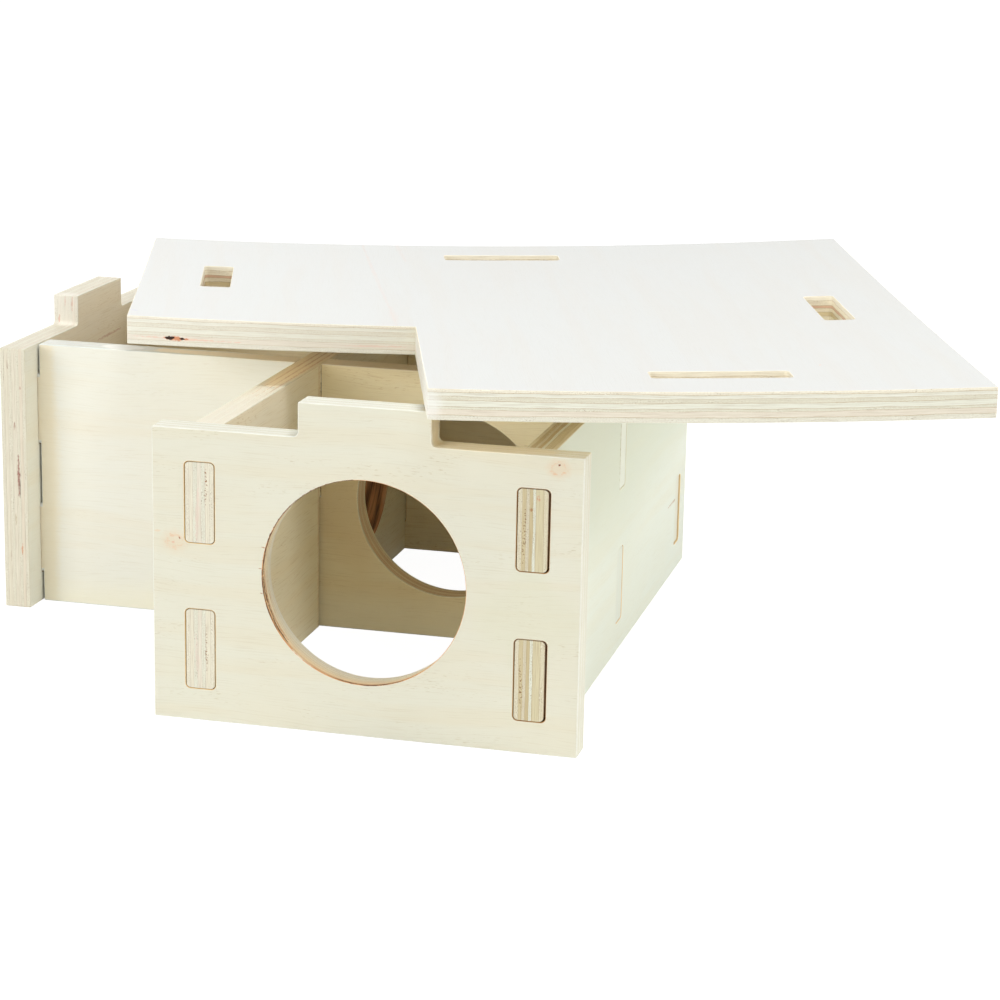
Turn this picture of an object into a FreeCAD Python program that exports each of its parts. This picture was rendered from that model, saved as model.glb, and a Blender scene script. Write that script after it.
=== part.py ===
import FreeCAD, Part
import os

import Sketcher

# A small-pet house of seven plywood boards that plug together: through tenons in mortises, a halved crossing,
# and tabs on the walls for the slots of a loose L-shaped lid. It has no floor.
#
# Millimetres, +Z up. The origin is on the ground, where the middle planes of the centre wall (x = 0) and of the
# cross wall (y = 0) meet. The doorway faces -Y. Every board is drawn about the middle plane of its thickness, in
# a body that is then placed: walls across the house on the XZ plane, walls along it on the YZ plane.

DIMENSIONS = (
    ("ply", 10, "thickness of every board"),
    ("wall_height", 100, "height of the walls, without their lid tabs"),
    ("front_bay", 112.5, "middle of the centre wall to middle of the right wall"),
    ("left_bay", 111.5, "middle of the left wall to middle of the centre wall"),
    ("depth_bay", 115, "middle of the cross wall to middle of the front wall, and of the back wall"),
    ("end_margin", 11.5, "board that runs on past its outermost joint"),
    ("tenon_foot", 11.25, "lower tenons above the ground, and upper tenons below the top"),
    ("tenon_height", 27.25, "height of a tenon"),
    ("tenon_gap", 0.4, "play on each side of a tenon in its mortise"),
    ("mortise_drift", 0.2, "the front wall's right mortises sit this far outboard"),
    ("shoulder_gap", 0.7, "the cross wall's left shoulders stop this far short of the left wall"),
    ("lap_gap", 0.15, "play on each side of a board in the other's notch at the crossing"),
    ("cutter_radius", 1.6, "what the router bit leaves in an inner corner"),
    ("doorway_width", 70, "diameter of the doorway and of both inner passages"),
    ("doorway_middle", 52.5, "height of the doorway's middle"),
    ("passage_middle", 50.5, "height of the middle of a passage"),
    ("passage_offset", 54, "middle of a passage from the middle of the crossing"),
    ("tab_length", 45, "length of a lid tab"),
    ("tab_height", 11.5, "height of a lid tab above its wall"),
    ("slot_gap", 0.5, "play on each side of a tab in its slot"),
    ("lid_overhang", 23, "lid past the outer faces of the walls"),
    ("wing_overhang", 17.5, "lid past the front end of the left wall"),
    ("lid_bow", 3.4, "height by which the lid's left and right edges curl up"),
    ("lid_twist", 1.2, "the lid curls up more at its back right and front left corners, less at the others"),
    ("lid_dish", 1, "height by which the lid's front and back edges curl up"),
    ("lid_turn", 17.8, "the lid lies turned by this many degrees on top of the tabs"),
    ("lid_shift_right", 76.2, "how far the lid lies to the right of its place"),
    ("lid_shift_back", 9.3, "how far the lid lies behind its place"),
)

# Expressions that several boards share.
HALF_PLY = "Sheet.ply / 2"
PAST_JOINT = "(Sheet.ply / 2 + Sheet.end_margin)"
DOORWAY_ACROSS = "Sheet.front_bay / 2"
BACK_TAB_ACROSS = "(Sheet.front_bay - Sheet.left_bay) / 2"
LEFT_TAB_ALONG = "Sheet.depth_bay / 2"
TENON_LEVELS = (
    ("Sheet.tenon_foot", "Sheet.tenon_foot + Sheet.tenon_height"),
    ("Sheet.wall_height - Sheet.tenon_foot - Sheet.tenon_height", "Sheet.wall_height - Sheet.tenon_foot"),
)

ORIGIN_POINT = -1   # how a sketch numbers its own origin
START = 1           # the start point of a line or arc in a sketch
END = 2
CENTRE = 3
TOUCHING = 1e-4


def make_sheet(doc):
    """The spreadsheet: a name, a plain number with its alias, and a note in each row."""
    sheet = doc.addObject("Spreadsheet::Sheet", "Sheet")
    for row, (alias, number, note) in enumerate(DIMENSIONS, 1):
        sheet.set(f"A{row}", alias)
        sheet.set(f"B{row}", str(number))
        sheet.setAlias(f"B{row}", alias)
        sheet.set(f"C{row}", note)
    doc.recompute()


def make_body(doc, name, placement=()):
    """A body with its own label, placed by pairs of a placement property and an expression."""
    body = doc.addObject("PartDesign::Body", name)
    body.Label = name
    for property_name, expression in placement:
        body.setExpression(f"Placement.{property_name}", expression)
    return body


def make_sketch(body, name, role):
    """An empty sketch on the body's own origin plane of that role."""
    sketch = body.newObject("Sketcher::SketchObject", name)
    plane = next(feature for feature in body.Origin.OriginFeatures if feature.Role == role)
    sketch.AttachmentSupport = (plane, "")
    sketch.MapMode = "FlatFace"
    body.Document.recompute()
    return sketch


def bind(sketch, kind, geometry, point, expression):
    """Ties a point's distance from the sketch's origin, along one axis, to an expression."""
    number = float(sketch.evalExpression(expression))
    constraint = Sketcher.Constraint(kind, ORIGIN_POINT, START, geometry, point, number)
    sketch.setExpression(f"Constraints[{sketch.addConstraint(constraint)}]", expression)


def draw_rectangle(sketch, left, right, low, high):
    """A rectangle between four expressions. Returns its corners as points of the body."""
    x0, x1, y0, y1 = (float(sketch.evalExpression(text)) for text in (left, right, low, high))
    corners = [FreeCAD.Vector(x, y, 0) for x, y in ((x0, y0), (x1, y0), (x1, y1), (x0, y1))]
    first = sketch.GeometryCount
    lines = [first + side for side in range(4)]
    for side, line in enumerate(lines):
        sketch.addGeometry(Part.LineSegment(corners[side], corners[(side + 1) % 4]), False)
    for side, line in enumerate(lines):
        sketch.addConstraint(Sketcher.Constraint("Coincident", line, END, lines[(side + 1) % 4], START))
        sketch.addConstraint(Sketcher.Constraint("Vertical" if side % 2 else "Horizontal", line))
    bind(sketch, "DistanceX", lines[0], START, left)
    bind(sketch, "DistanceY", lines[0], START, low)
    bind(sketch, "DistanceX", lines[2], START, right)
    bind(sketch, "DistanceY", lines[2], START, high)
    return [sketch.Placement.multVec(corner) for corner in corners]


def draw_circle(sketch, across, height, diameter):
    """A circle about a point given by two expressions."""
    middle = FreeCAD.Vector(*(float(sketch.evalExpression(text)) for text in (across, height)), 0)
    size = float(sketch.evalExpression(diameter))
    circle = sketch.addGeometry(Part.Circle(middle, FreeCAD.Vector(0, 0, 1), size / 2), False)
    bind(sketch, "DistanceX", circle, CENTRE, across)
    bind(sketch, "DistanceY", circle, CENTRE, height)
    constraint = sketch.addConstraint(Sketcher.Constraint("Diameter", circle, size))
    sketch.setExpression(f"Constraints[{constraint}]", diameter)


def pad_both_ways(body, sketch, thickness):
    """Pads a sketch by half the thickness to each side of its plane."""
    pad = body.newObject("PartDesign::Pad", f"{sketch.Name}_pad")
    pad.Profile = sketch
    pad.SideType = "Symmetric"
    pad.setExpression("Length", thickness)
    body.Document.recompute()
    return pad


def cut_through(body, sketch):
    """Cuts a sketch right through the body, to both sides of its plane."""
    before = body.Shape.Volume
    pocket = body.newObject("PartDesign::Pocket", f"{sketch.Name}_cut")
    pocket.Profile = sketch
    pocket.SideType = "Symmetric"
    pocket.Type = "ThroughAll"
    body.Document.recompute()
    if not body.Shape.Volume < before:
        raise RuntimeError(f"{pocket.Name} cuts nothing")
    return pocket


def round_edges(body, feature, points, radius):
    """Rounds the edges of the feature that pass through the points."""
    names = []
    for number, edge in enumerate(feature.Shape.Edges, 1):
        if any(edge.distToShape(Part.Vertex(point))[0] < TOUCHING for point in points):
            names.append(f"Edge{number}")
    if len(names) != len(points):
        raise RuntimeError(f"{feature.Name}: {len(names)} edges found for {len(points)} points")
    fillet = body.newObject("PartDesign::Fillet", f"{feature.Name}_round")
    fillet.Base = (feature, names)
    fillet.setExpression("Radius", radius)
    body.Document.recompute()


def add_panel(body, role, start, end):
    """The plain board of a wall, from the ground to the wall's top."""
    sketch = make_sketch(body, f"{body.Name}_panel", role)
    draw_rectangle(sketch, start, end, "0", "Sheet.wall_height")
    pad_both_ways(body, sketch, "Sheet.ply")


def add_tab(body, role, middle):
    """The tab on a wall's top edge that goes up into a slot of the lid, with router-rounded foot corners."""
    sketch = make_sketch(body, f"{body.Name}_tab", role)
    start = f"{middle} - Sheet.tab_length / 2"
    end = f"{middle} + Sheet.tab_length / 2"
    corners = draw_rectangle(sketch, start, end, "Sheet.wall_height", "Sheet.wall_height + Sheet.tab_height")
    pad = pad_both_ways(body, sketch, "Sheet.ply")
    round_edges(body, pad, corners[:2], "Sheet.cutter_radius")


def add_tenons(body, role, start, end):
    """Two tenons at one end of a wall, with their long edges eased to the corners of the mortises."""
    sketch = make_sketch(body, f"{body.Name}_tenons", role)
    tenons = [draw_rectangle(sketch, start, end, low, high) for low, high in TENON_LEVELS]
    pad = pad_both_ways(body, sketch, "Sheet.ply")
    out_of_plane = sketch.Placement.Rotation.multVec(FreeCAD.Vector(0, 0, 1))
    half_ply = out_of_plane * float(sketch.evalExpression(HALF_PLY))
    points = []
    for low_start, low_end, high_end, high_start in tenons:
        for side in (half_ply, -half_ply):
            points.append((low_start + low_end) * 0.5 + side)
            points.append((high_start + high_end) * 0.5 + side)
    round_edges(body, pad, points, "Sheet.cutter_radius - Sheet.tenon_gap")


def cut_mortises(body, role, middles):
    """Two mortises through a wall for each crossing board, with router-rounded corners."""
    sketch = make_sketch(body, f"{body.Name}_mortises", role)
    corners = []
    for middle in middles:
        start = f"{middle} - {HALF_PLY} - Sheet.tenon_gap"
        end = f"{middle} + {HALF_PLY} + Sheet.tenon_gap"
        for low, high in TENON_LEVELS:
            corners += draw_rectangle(sketch, start, end, f"{low} - Sheet.tenon_gap", f"{high} + Sheet.tenon_gap")
    pocket = cut_through(body, sketch)
    round_edges(body, pocket, corners, "Sheet.cutter_radius")


def cut_round_opening(body, role, across, height):
    """The doorway, or a passage between two rooms."""
    sketch = make_sketch(body, f"{body.Name}_opening", role)
    draw_circle(sketch, across, height, "Sheet.doorway_width")
    cut_through(body, sketch)


def cut_lap_notch(body, role, low, high):
    """Half the height of a wall, cut out where the other wall crosses it."""
    sketch = make_sketch(body, f"{body.Name}_lap", role)
    half_width = f"({HALF_PLY} + Sheet.lap_gap)"
    draw_rectangle(sketch, f"-{half_width}", half_width, low, high)
    cut_through(body, sketch)


def make_front_wall(doc):
    """The board with the doorway. It runs on past the centre wall and the right wall, and carries a tab."""
    body = make_body(doc, "front_wall", [("Base.y", "-Sheet.depth_bay")])
    add_panel(body, "XZ_Plane", f"-{PAST_JOINT}", f"Sheet.front_bay + {PAST_JOINT}")
    add_tab(body, "XZ_Plane", DOORWAY_ACROSS)
    cut_mortises(body, "XZ_Plane", ["0", "Sheet.front_bay + Sheet.mortise_drift"])
    cut_round_opening(body, "XZ_Plane", DOORWAY_ACROSS, "Sheet.doorway_middle")
    return body


def make_centre_wall(doc):
    """The board from the front wall to the back wall. Its notch is open below, over the cross wall."""
    body = make_body(doc, "centre_wall")
    front = "-Sheet.depth_bay"
    back = "Sheet.depth_bay"
    add_panel(body, "YZ_Plane", f"{front} + {HALF_PLY}", f"{back} - {HALF_PLY}")
    add_tenons(body, "YZ_Plane", f"{front} - {HALF_PLY}", f"{front} + {HALF_PLY}")
    add_tenons(body, "YZ_Plane", f"{back} - {HALF_PLY}", f"{back} + {HALF_PLY}")
    cut_round_opening(body, "YZ_Plane", "Sheet.passage_offset", "Sheet.passage_middle")
    cut_lap_notch(body, "YZ_Plane", "0", "Sheet.wall_height / 2")
    return body


def make_cross_wall(doc):
    """The board from the left wall to the right wall. Its notch is open above, under the centre wall."""
    body = make_body(doc, "cross_wall")
    left_shoulder = f"-Sheet.left_bay + {HALF_PLY} + Sheet.shoulder_gap"
    right_shoulder = f"Sheet.front_bay - {HALF_PLY}"
    add_panel(body, "XZ_Plane", left_shoulder, right_shoulder)
    add_tenons(body, "XZ_Plane", f"-Sheet.left_bay - {HALF_PLY}", left_shoulder)
    add_tenons(body, "XZ_Plane", right_shoulder, f"Sheet.front_bay + {HALF_PLY}")
    cut_round_opening(body, "XZ_Plane", "Sheet.passage_offset", "Sheet.passage_middle")
    cut_lap_notch(body, "XZ_Plane", "Sheet.wall_height / 2", "Sheet.wall_height")
    return body


def make_right_wall(doc):
    """The long side board, from the front wall to past the back wall. Its tab is over the cross wall."""
    body = make_body(doc, "right_wall", [("Base.x", "Sheet.front_bay")])
    front = "-Sheet.depth_bay"
    add_panel(body, "YZ_Plane", f"{front} + {HALF_PLY}", f"Sheet.depth_bay + {PAST_JOINT}")
    add_tab(body, "YZ_Plane", "0")
    add_tenons(body, "YZ_Plane", f"{front} - {HALF_PLY}", f"{front} + {HALF_PLY}")
    cut_mortises(body, "YZ_Plane", ["0", "Sheet.depth_bay"])
    return body


def make_left_wall(doc):
    """The short side board of the left wing. It runs on past the cross wall and the back wall."""
    body = make_body(doc, "left_wall", [("Base.x", "-Sheet.left_bay")])
    add_panel(body, "YZ_Plane", f"-{PAST_JOINT}", f"Sheet.depth_bay + {PAST_JOINT}")
    add_tab(body, "YZ_Plane", LEFT_TAB_ALONG)
    cut_mortises(body, "YZ_Plane", ["0", "Sheet.depth_bay"])
    return body


def make_back_wall(doc):
    """The plain board at the back, between the side walls. The centre wall's rear tenons go through it."""
    body = make_body(doc, "back_wall", [("Base.y", "Sheet.depth_bay")])
    left_shoulder = f"-Sheet.left_bay + {HALF_PLY}"
    right_shoulder = f"Sheet.front_bay - {HALF_PLY}"
    add_panel(body, "XZ_Plane", left_shoulder, right_shoulder)
    add_tab(body, "XZ_Plane", BACK_TAB_ACROSS)
    add_tenons(body, "XZ_Plane", f"-Sheet.left_bay - {HALF_PLY}", left_shoulder)
    add_tenons(body, "XZ_Plane", right_shoulder, f"Sheet.front_bay + {HALF_PLY}")
    cut_mortises(body, "XZ_Plane", ["0"])
    return body


def draw_curled_end(sketch, sides, rises, thickness):
    """The end view of a curled board: two like arcs, each over the left side, the middle and the right side."""
    left, right = sides
    across = (left, f"(({left}) + ({right})) / 2", right)
    arcs = []
    for base in ("0", thickness):
        heights = [f"{base} + {rise}" for rise in rises]
        points = []
        for across_text, height_text in zip(across, heights):
            numbers = (float(sketch.evalExpression(text)) for text in (across_text, height_text))
            points.append(FreeCAD.Vector(*numbers, 0))
        arc = sketch.addGeometry(Part.Arc(*points), False)
        middle = sketch.addGeometry(Part.Point(points[1]), True)
        for geometry, point, place in ((arc, START, 0), (middle, START, 1), (arc, END, 2)):
            bind(sketch, "DistanceX", geometry, point, across[place])
            bind(sketch, "DistanceY", geometry, point, heights[place])
        sketch.addConstraint(Sketcher.Constraint("PointOnObject", middle, START, arc))
        arcs.append((arc, points))
    (lower, lower_points), (upper, upper_points) = arcs
    for corner, place in ((START, 0), (END, 2)):
        side = sketch.addGeometry(Part.LineSegment(lower_points[place], upper_points[place]), False)
        sketch.addConstraint(Sketcher.Constraint("Coincident", side, START, lower, corner))
        sketch.addConstraint(Sketcher.Constraint("Coincident", side, END, upper, corner))


def loft_curled_board(body, sides, half_depth):
    """A board lofted from its front end over its middle to its back end, curled both ways and twisted."""
    ends = []
    for name, station in (("front", -1), ("middle", 0), ("back", 1)):
        end = make_sketch(body, f"{body.Name}_{name}", "XZ_Plane")
        end.setExpression("AttachmentOffset.Base.z", f"{-station} * {half_depth}")
        dish = f"{station ** 2} * Sheet.lid_dish"
        twist = f"{station} * Sheet.lid_twist"
        rises = (f"{dish} + Sheet.lid_bow - {twist}", dish, f"{dish} + Sheet.lid_bow + {twist}")
        draw_curled_end(end, sides, rises, "Sheet.ply")
        ends.append(end)
    body.Document.recompute()
    loft = body.newObject("PartDesign::AdditiveLoft", f"{body.Name}_loft")
    loft.Profile = ends[0]
    loft.Sections = ends[1:]
    body.Document.recompute()


def make_lid(doc):
    """The L-shaped lid, drawn as it lies when closed and then placed as it lies: turned, on top of the tabs."""
    resting = [
        ("Rotation.Angle", "Sheet.lid_turn"),
        ("Base.x", "Sheet.lid_shift_right"),
        ("Base.y", "Sheet.lid_shift_back"),
        ("Base.z", "Sheet.wall_height + Sheet.tab_height"),
    ]
    body = make_body(doc, "lid", resting)
    past_wall = "(Sheet.ply / 2 + Sheet.lid_overhang)"
    left = f"-Sheet.left_bay - {past_wall}"
    right = f"Sheet.front_bay + {past_wall}"
    front = f"-Sheet.depth_bay - {past_wall}"
    loft_curled_board(body, (left, right), f"(Sheet.depth_bay + {past_wall})")

    notch = make_sketch(body, "lid_notch", "XY_Plane")
    notch_side = f"-{PAST_JOINT} - Sheet.lid_overhang"
    notch_back = f"-{PAST_JOINT} - Sheet.wing_overhang"
    draw_rectangle(notch, left, notch_side, front, notch_back)
    cut_through(body, notch)

    slots = make_sketch(body, "lid_slots", "XY_Plane")
    half_long = "(Sheet.tab_length / 2 + Sheet.slot_gap)"
    half_wide = f"({HALF_PLY} + Sheet.slot_gap)"
    across_slots = ((DOORWAY_ACROSS, "-Sheet.depth_bay"), (BACK_TAB_ACROSS, "Sheet.depth_bay"))
    along_slots = (("-Sheet.left_bay", LEFT_TAB_ALONG), ("Sheet.front_bay", "0"))
    corners = []
    for x, y in across_slots:
        corners += draw_rectangle(slots, f"{x} - {half_long}", f"{x} + {half_long}",
                                  f"{y} - {half_wide}", f"{y} + {half_wide}")
    for x, y in along_slots:
        corners += draw_rectangle(slots, f"{x} - {half_wide}", f"{x} + {half_wide}",
                                  f"{y} - {half_long}", f"{y} + {half_long}")
    pocket = cut_through(body, slots)
    mid_board = FreeCAD.Vector(0, 0, float(slots.evalExpression("Sheet.lid_bow + Sheet.ply / 2")))
    round_edges(body, pocket, [corner + mid_board for corner in corners], "Sheet.cutter_radius")
    return body


def check(doc, bodies):
    """Stops the script if any feature failed or any board isn't one valid solid."""
    for item in doc.Objects:
        if "Invalid" in item.State or "Error" in item.State:
            raise RuntimeError(f"{item.Name} failed: {item.State}")
    for body in bodies:
        shape = body.Shape
        if shape.isNull() or not shape.isValid() or len(shape.Solids) != 1:
            raise RuntimeError(f"{body.Label} isn't one valid solid")


def main():
    doc = FreeCAD.newDocument("small_pet_house")
    make_sheet(doc)
    makers = (
        make_front_wall,
        make_centre_wall,
        make_cross_wall,
        make_right_wall,
        make_left_wall,
        make_back_wall,
        make_lid,
    )
    bodies = [make(doc) for make in makers]
    doc.recompute()
    check(doc, bodies)
    os.makedirs("parts", exist_ok=True)
    for body in bodies:
        body.Shape.exportStep(f"parts/{body.Label}.step")
        box = body.Shape.BoundBox
        print(f"{body.Label}: {body.Shape.Volume / 1000:.1f} cm3,"
              f" x {box.XMin:.1f} to {box.XMax:.1f}, y {box.YMin:.1f} to {box.YMax:.1f},"
              f" z {box.ZMin:.1f} to {box.ZMax:.1f}")


main()
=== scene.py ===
# %% [markdown]
# # A plug-together hamster house in plywood
# The house is seven flat boards that a router cut out of 10 mm plywood. Six of them plug together as walls, with
# tenons in mortises and one halved crossing, and the seventh is a loose L-shaped lid that lies askew on the tabs.
# The boards have no paint, so everything there is to see is wood: pale face veneer, the plies along every cut
# edge, and the brown scorching that a dull router bit leaves. This lesson makes each of them in turn.

import math

import bmesh
import bpy
from mathutils import Matrix, Vector, noise
from mathutils.geometry import delaunay_2d_cdt


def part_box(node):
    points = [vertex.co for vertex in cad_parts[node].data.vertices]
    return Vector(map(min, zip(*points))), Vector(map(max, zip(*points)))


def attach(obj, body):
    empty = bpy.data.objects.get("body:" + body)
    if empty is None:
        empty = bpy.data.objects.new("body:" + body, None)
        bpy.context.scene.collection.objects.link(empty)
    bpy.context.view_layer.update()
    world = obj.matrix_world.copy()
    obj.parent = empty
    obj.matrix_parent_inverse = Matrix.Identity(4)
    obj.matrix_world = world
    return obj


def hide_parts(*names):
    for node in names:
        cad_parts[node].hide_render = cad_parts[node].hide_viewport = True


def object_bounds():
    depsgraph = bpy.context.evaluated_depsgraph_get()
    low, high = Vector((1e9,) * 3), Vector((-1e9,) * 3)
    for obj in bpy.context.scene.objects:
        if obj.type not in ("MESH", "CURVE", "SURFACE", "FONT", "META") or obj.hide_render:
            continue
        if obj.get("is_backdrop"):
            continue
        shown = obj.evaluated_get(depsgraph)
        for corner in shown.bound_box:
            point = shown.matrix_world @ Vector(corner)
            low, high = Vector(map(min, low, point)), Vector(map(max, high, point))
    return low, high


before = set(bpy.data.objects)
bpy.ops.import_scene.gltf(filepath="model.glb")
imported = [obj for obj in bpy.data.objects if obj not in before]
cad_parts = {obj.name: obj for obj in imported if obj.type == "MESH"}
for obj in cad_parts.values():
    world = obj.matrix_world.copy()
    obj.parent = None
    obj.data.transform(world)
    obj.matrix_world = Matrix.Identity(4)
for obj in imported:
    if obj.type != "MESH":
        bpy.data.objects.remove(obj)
cad_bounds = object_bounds()

# %% [markdown]
# ## Sizes
# A plywood house is fixed by very few numbers, and all boards share them. Writing them down once, in metres, keeps
# every mortise in step with its tenon. The origin is on the ground, where the middle planes of the centre wall and
# of the cross wall meet. The doorway faces -Y.

# %% Sizes of the house
MM = 0.001
PLY = 10 * MM
WALL_HEIGHT = 100 * MM
FRONT_BAY = 112.5 * MM
LEFT_BAY = 111.5 * MM
DEPTH_BAY = 115 * MM
END_MARGIN = 11.5 * MM
TENON_FOOT = 11.25 * MM
TENON_HEIGHT = 27.25 * MM
TENON_GAP = 0.22 * MM
TIGHT_GAP = 0.1 * MM
NEAR_GAP = 0.24 * MM
WIDE_GAP = 0.64 * MM
HEIGHT_GAP = 0.14 * MM
SHOULDER_GAP = 0.7 * MM
LAP_GAP = 0.05 * MM
LOWER_LAP_GAP = 1.1 * MM
CROSS_TENON_SHORT = 0.15 * MM
BACK_TENON_SHORT = 0.6 * MM
CUTTER_RADIUS = 1.6 * MM
OPENING_RADIUS = 34.8 * MM
DOORWAY_FLARE = 0.45 * MM
DOORWAY_MIDDLE = 52.5 * MM
PASSAGE_MIDDLE = 50.5 * MM
PASSAGE_OFFSET = 54 * MM
TAB_LENGTH = 45 * MM
TAB_HEIGHT = 11.5 * MM
SLOT_GAP = 0.5 * MM
LID_OVERHANG = 23 * MM
WING_OVERHANG = 17.5 * MM
LID_BOW = 3.4 * MM
LID_TWIST = 1.2 * MM
LID_DISH = 1.0 * MM
LID_TURN = math.radians(17.8)
LID_SHIFT = Vector((76.2 * MM, 9.3 * MM, 0))

HALF_PLY = PLY / 2
PAST_JOINT = HALF_PLY + END_MARGIN
TENON_LEVELS = (
    (TENON_FOOT, TENON_FOOT + TENON_HEIGHT),
    (WALL_HEIGHT - TENON_FOOT - TENON_HEIGHT, WALL_HEIGHT - TENON_FOOT),
)
print(f"walls {WALL_HEIGHT / MM:.0f} mm high, doorway {2 * OPENING_RADIUS / MM:.0f} mm across")

# %% [markdown]
# ## The camera
# A product camera stands well back with a long lens, so that upright edges stay nearly parallel. The direction is
# built from a heading, a tilt and a small roll. A matrix whose columns are right, up and back does the aiming
# exactly, where a Track To constraint would lose the roll.

# %% Camera
CAMERA_PLACE = Vector((303.51, -941.8, 300.02)) * MM
CAMERA_HEADING = math.radians(13.804)
CAMERA_TILT = math.radians(14.296)
CAMERA_ROLL = math.radians(1.176)
CAMERA_LENS = 98.606

ahead = Vector((
    -math.sin(CAMERA_HEADING) * math.cos(CAMERA_TILT),
    math.cos(CAMERA_HEADING) * math.cos(CAMERA_TILT),
    -math.sin(CAMERA_TILT),
))
level = Vector((math.cos(CAMERA_HEADING), math.sin(CAMERA_HEADING), 0))
upright = level.cross(ahead)
right = level * math.cos(CAMERA_ROLL) + upright * math.sin(CAMERA_ROLL)
up = upright * math.cos(CAMERA_ROLL) - level * math.sin(CAMERA_ROLL)

lens = bpy.data.cameras.new("studio_camera")
lens.lens = CAMERA_LENS
lens.sensor_width = 36
lens.clip_start = 0.01
camera = bpy.data.objects.new("studio_camera", lens)
camera.matrix_world = Matrix.Translation(CAMERA_PLACE) @ Matrix((right, up, -ahead)).transposed().to_4x4()
bpy.context.scene.collection.objects.link(camera)
bpy.context.scene.camera = camera
print("camera at", [round(value, 3) for value in camera.location])

# %% [markdown]
# ## Node helpers
# Wood is made of many small effects, so the materials below have many nodes. One helper adds a node and fills its
# sockets, from other nodes or with plain values. A tone is written the way a colour picker shows it, and turned
# into the linear value that a shader wants.

# %% Tones and nodes
def tone(red, green, blue):
    """A colour from its 0 to 255 screen values, as linear RGBA."""
    shares = [value / 255 for value in (red, green, blue)]
    linear = [share / 12.92 if share <= 0.04045 else ((share + 0.055) / 1.055) ** 2.4 for share in shares]
    return (*linear, 1.0)


def fill_socket(tree, socket, value):
    """Links a socket to another node's output, or sets it to a plain value."""
    if isinstance(value, bpy.types.NodeSocket):
        tree.links.new(value, socket)
    else:
        socket.default_value = value


def add_node(tree, kind, inputs=None, **settings):
    """Adds a node, sets its properties, and links or fills its inputs, each by name or by number."""
    node = tree.nodes.new(kind)
    for name, value in settings.items():
        setattr(node, name, value)
    for key, value in (inputs or {}).items():
        fill_socket(tree, node.inputs[key], value)
    return node


print("white is", tone(255, 255, 255))

# %% [markdown]
# ## Arithmetic with nodes
# A node tree does its sums in Math, Vector Math, Map Range and Mix nodes. Each kind gets a short helper, so that
# the groups below read almost like formulas. The noise helper takes the size of its cells in millimetres, because
# that is how wood grain is measured.

# %% Arithmetic helpers
def calculate(tree, operation, *values, clamp=False):
    """The result of a Math node."""
    inputs = dict(enumerate(values))
    return add_node(tree, "ShaderNodeMath", inputs, operation=operation, use_clamp=clamp).outputs[0]


def product(tree, first, *others):
    """Several values multiplied together, one Math node for each after the first."""
    for other in others:
        first = calculate(tree, "MULTIPLY", first, other)
    return first


def combine(tree, operation, *vectors, scale=None):
    """The result of a Vector Math node. Dot Product and Length give a value, the others a vector."""
    inputs = dict(enumerate(vectors))
    if scale is not None:
        inputs["Scale"] = scale
    node = add_node(tree, "ShaderNodeVectorMath", inputs, operation=operation)
    return node.outputs["Value" if operation in ("DOT_PRODUCT", "LENGTH") else "Vector"]


def remap(tree, value, low, high, to_low=0.0, to_high=1.0):
    """Stretches low..high to another range, with soft ends, and holds it there."""
    inputs = {"Value": value, "From Min": low, "From Max": high, "To Min": to_low, "To Max": to_high}
    return add_node(tree, "ShaderNodeMapRange", inputs, interpolation_type="SMOOTHSTEP").outputs["Result"]


def mix_colour(tree, amount, first, second, blend="MIX"):
    """The Color output of a Mix node."""
    node = add_node(tree, "ShaderNodeMix", data_type="RGBA", blend_type=blend)
    for number, value in ((0, amount), (6, first), (7, second)):
        fill_socket(tree, node.inputs[number], value)
    return node.outputs[2]


def noise_value(tree, vector, cells, detail=2.0, roughness=0.5):
    """Noise with cells of the given size in millimetres along each axis of the vector."""
    stretched = combine(tree, "DIVIDE", vector, cells)
    inputs = {"Vector": stretched, "Scale": 1.0, "Detail": detail, "Roughness": roughness}
    return add_node(tree, "ShaderNodeTexNoise", inputs).outputs["Fac"]


print("nodes reckon in millimetres, and one is", MM, "metres")

# %% [markdown]
# ## Node groups
# An effect that several boards share is a node group: built once, placed in each material with its own values.
# One helper opens a group with named sockets, and one places it in a tree.

# %% Group helpers
SOCKETS = {"value": "NodeSocketFloat", "vector": "NodeSocketVector", "colour": "NodeSocketColor"}


def open_group(name, inputs, outputs):
    """A shader node group. Returns its tree, its input sockets and the sockets that take its results."""
    tree = bpy.data.node_groups.new(name, "ShaderNodeTree")
    for direction, sockets in (("INPUT", inputs), ("OUTPUT", outputs)):
        for socket, kind in sockets.items():
            tree.interface.new_socket(name=socket, in_out=direction, socket_type=SOCKETS[kind])
    entry = tree.nodes.new("NodeGroupInput")
    exit_node = tree.nodes.new("NodeGroupOutput")
    return tree, entry.outputs, exit_node.inputs


def place_group(tree, group, inputs):
    """Places a group in a tree and returns its outputs."""
    node = tree.nodes.new("ShaderNodeGroup")
    node.node_tree = group
    for key, value in inputs.items():
        fill_socket(tree, node.inputs[key], value)
    return node.outputs


print("sockets can hold", ", ".join(SOCKETS))
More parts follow.
